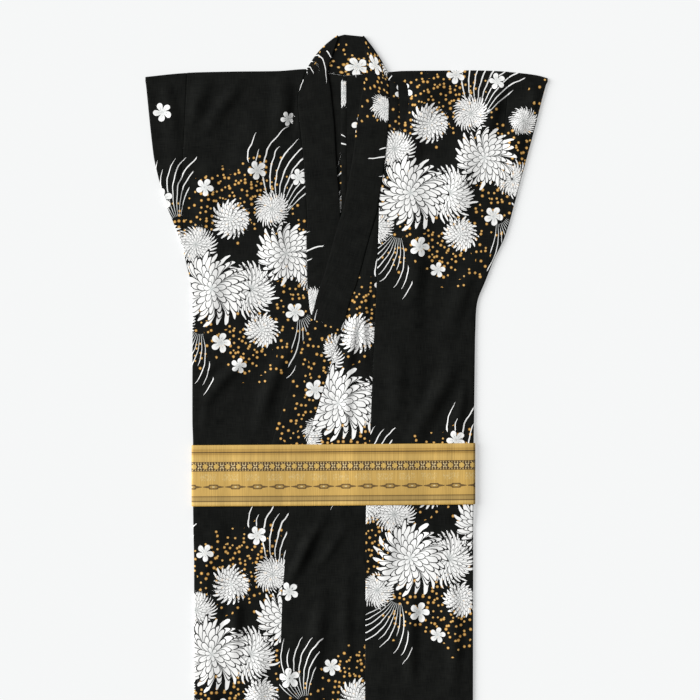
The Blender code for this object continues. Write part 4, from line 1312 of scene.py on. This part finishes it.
def stitch_tree(material):
    """Geometry nodes that lay a short stitch at every pitch along the seam lines they are given."""
    sizes = [(size, "Float") for size in ("Pitch", "Length", "Thickness")]
    tree, given = new_group("stitches along a seam", "GeometryNodeTree",
                            [("Geometry", "Geometry"), *sizes], [("Geometry", "Geometry")])
    seam = add(tree, "GeometryNodeMeshToCurve", [given["Geometry"]])
    spaced = add(tree, "GeometryNodeResampleCurve", {"Curve": seam, "Length": given["Pitch"]}, mode="LENGTH")
    body = add(tree, "GeometryNodeMeshCylinder", {
        "Vertices": 6, "Side Segments": 1, "Radius": given["Thickness"], "Depth": given["Length"]})
    tangent = add(tree, "GeometryNodeInputTangent")
    turned = add(tree, "FunctionNodeAlignEulerToVector", {"Vector": tangent}, axis="Z")
    placed = add(tree, "GeometryNodeInstanceOnPoints", {
        "Points": spaced, "Instance": body.outputs["Mesh"], "Rotation": turned})
    real = add(tree, "GeometryNodeRealizeInstances", [placed])
    dyed = add(tree, "GeometryNodeSetMaterial", {"Geometry": real, "Material": material})
    add(tree, "NodeGroupOutput", [dyed])
    return tree


def sew(name, seams, tree, pitch):
    """Stitches along several lines of points on the cloth, as one plain mesh."""
    points, edges = [], []
    for seam in seams:
        start = len(points)
        points += [metres(point) for point in seam]
        edges += [(start + number, start + number + 1) for number in range(len(seam) - 1)]
    guide_mesh = bpy.data.meshes.new(name + " line")
    guide_mesh.from_pydata(points, edges, [])
    guide = place_object(name + " line", guide_mesh)
    modifier = guide.modifiers.new("stitches", "NODES")
    modifier.node_group = tree
    sizes = {"Pitch": pitch * MM, "Length": STITCH_LENGTH * MM, "Thickness": 0.5 * STITCH_THICKNESS * MM}
    for socket in tree.interface.items_tree:
        if socket.in_out == "INPUT" and socket.name in sizes:
            modifier[socket.identifier] = sizes[socket.name]
    ready = guide.evaluated_get(bpy.context.evaluated_depsgraph_get())
    mesh = bpy.data.meshes.new_from_object(ready)
    mesh.name = name
    bpy.data.objects.remove(guide)
    return place_object(name, mesh)


def on_face(places, turned_down):
    """Points on the outer face of a line of places, where it turns down to a seam or level with the rest."""
    return [place.middle + place.normal * (0.5 * WALL - turned_down * place.drop) for place in places]


def join_the_robe(thing, slot, *nodes):
    """A finished piece rides the robe and stands for its solid. The slot is not used."""
    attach(thing, "root")
    if nodes:
        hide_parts(*nodes)


cotton = printed_cotton()
belt_weave = woven_belt()
stitch_nodes = stitch_tree(black_thread())

sections = {
    "body_left": body_rows("body_left", LEFT, body_left_inner, overlap_layer),
    "body_right": body_rows("body_right", RIGHT, body_right_inner, underlap_layer),
    "okumi_left": okumi_left_rows(),
    "okumi_right": okumi_right_rows(),
    "collar": collar_rows(UP_COLLAR_END, 0.0),
    "collar_cover": collar_rows(UP_COVER_END, 1.0),
    "sleeve_left": sleeve_rows("sleeve_left", LEFT),
    "sleeve_right": sleeve_rows("sleeve_right", RIGHT),
}
made = {}
for name, rows in sections.items():
    made[name] = build_shell(name, rows, cotton)
    join_the_robe(made[name], "printed_cotton", name)
made["seam_allowance"] = build_shell("seam_allowance", allowance_rows(), cotton, ALLOWANCE_WALL)
join_the_robe(made["seam_allowance"], "printed_cotton")
made["belt"] = build_shell("belt", belt_rows(), belt_weave, BELT_WALL)
join_the_robe(made["belt"], "belt_weave", "belt")

edge_line = [row[EDGE_STITCH_COLUMN] for row in sections["okumi_left"] if row[0].v < UP_OKUMI_CORNER]
cover_ends = [sections["collar_cover"][number][COVER_STITCH_COLUMNS] for number in (1, -2)]
hem_row = next(row for row in sections["body_left"] if row[0].v >= HEM_STITCH_UP)
seams = {
    "edge_stitches": ([on_face(edge_line, True)], LONG_PITCH),
    "cover_stitches": ([on_face(end, False) for end in cover_ends], COVER_PITCH),
    "hem_stitches": ([on_face(hem_row[HEM_STITCH_COLUMNS], False)], LONG_PITCH),
}
for name, (lines_sewn, pitch) in seams.items():
    made[name] = sew(name, lines_sewn, stitch_nodes, pitch)
    join_the_robe(made[name], "printed_cotton")


def lay_floor():
    """A pale surface whose own even light leaves the robe only a faint shadow."""
    mesh = bpy.data.meshes.new("floor")
    corners = [(x * FLOOR_HALF, y * FLOOR_HALF, FLOOR_Z) for x, y in ((-1, -1), (1, -1), (1, 1), (-1, 1))]
    mesh.from_pydata(corners, [], [(0, 1, 2, 3)])
    material, tree = new_material("opal acrylic lit from below")
    shader = add(tree, "ShaderNodeBsdfPrincipled", {
        "Base Color": "#B2B3B3", "Roughness": 0.9, "Specular IOR Level": 0.0,
        "Emission Color": "#FEFFFF", "Emission Strength": 0.475})
    add(tree, "ShaderNodeOutputMaterial", {"Surface": shader})
    mesh.materials.append(material)
    place_object("floor", mesh)


def light_the_table():
    """Soft window light from the left, low enough to show the folds, and an even white surround."""
    world = bpy.data.worlds.new("white surround")
    bpy.context.scene.world = world
    world.use_nodes = True
    surround = world.node_tree.nodes["Background"]
    surround.inputs["Color"].default_value = linear("#FFFFFF")
    surround.inputs["Strength"].default_value = 0.20
    window = bpy.data.lights.new("window", "SUN")
    window.energy = 5.1
    window.angle = math.radians(WINDOW_ANGLE)
    lamp = place_object("window", window)
    lamp.rotation_mode = "QUATERNION"
    lamp.rotation_quaternion = Vector(WINDOW_WAY).to_track_quat("-Z", "Y")


def set_camera():
    """A camera straight above, whose frame is 1225 mm wide on the robe."""
    camera = bpy.data.cameras.new("camera")
    camera.lens = LENS
    camera.sensor_width = SENSOR
    thing = place_object("camera", camera)
    thing.location = CAMERA_PLACE
    bpy.context.scene.camera = thing


lay_floor()
light_the_table()
set_camera()
bpy.context.scene.view_settings.view_transform = "Standard"
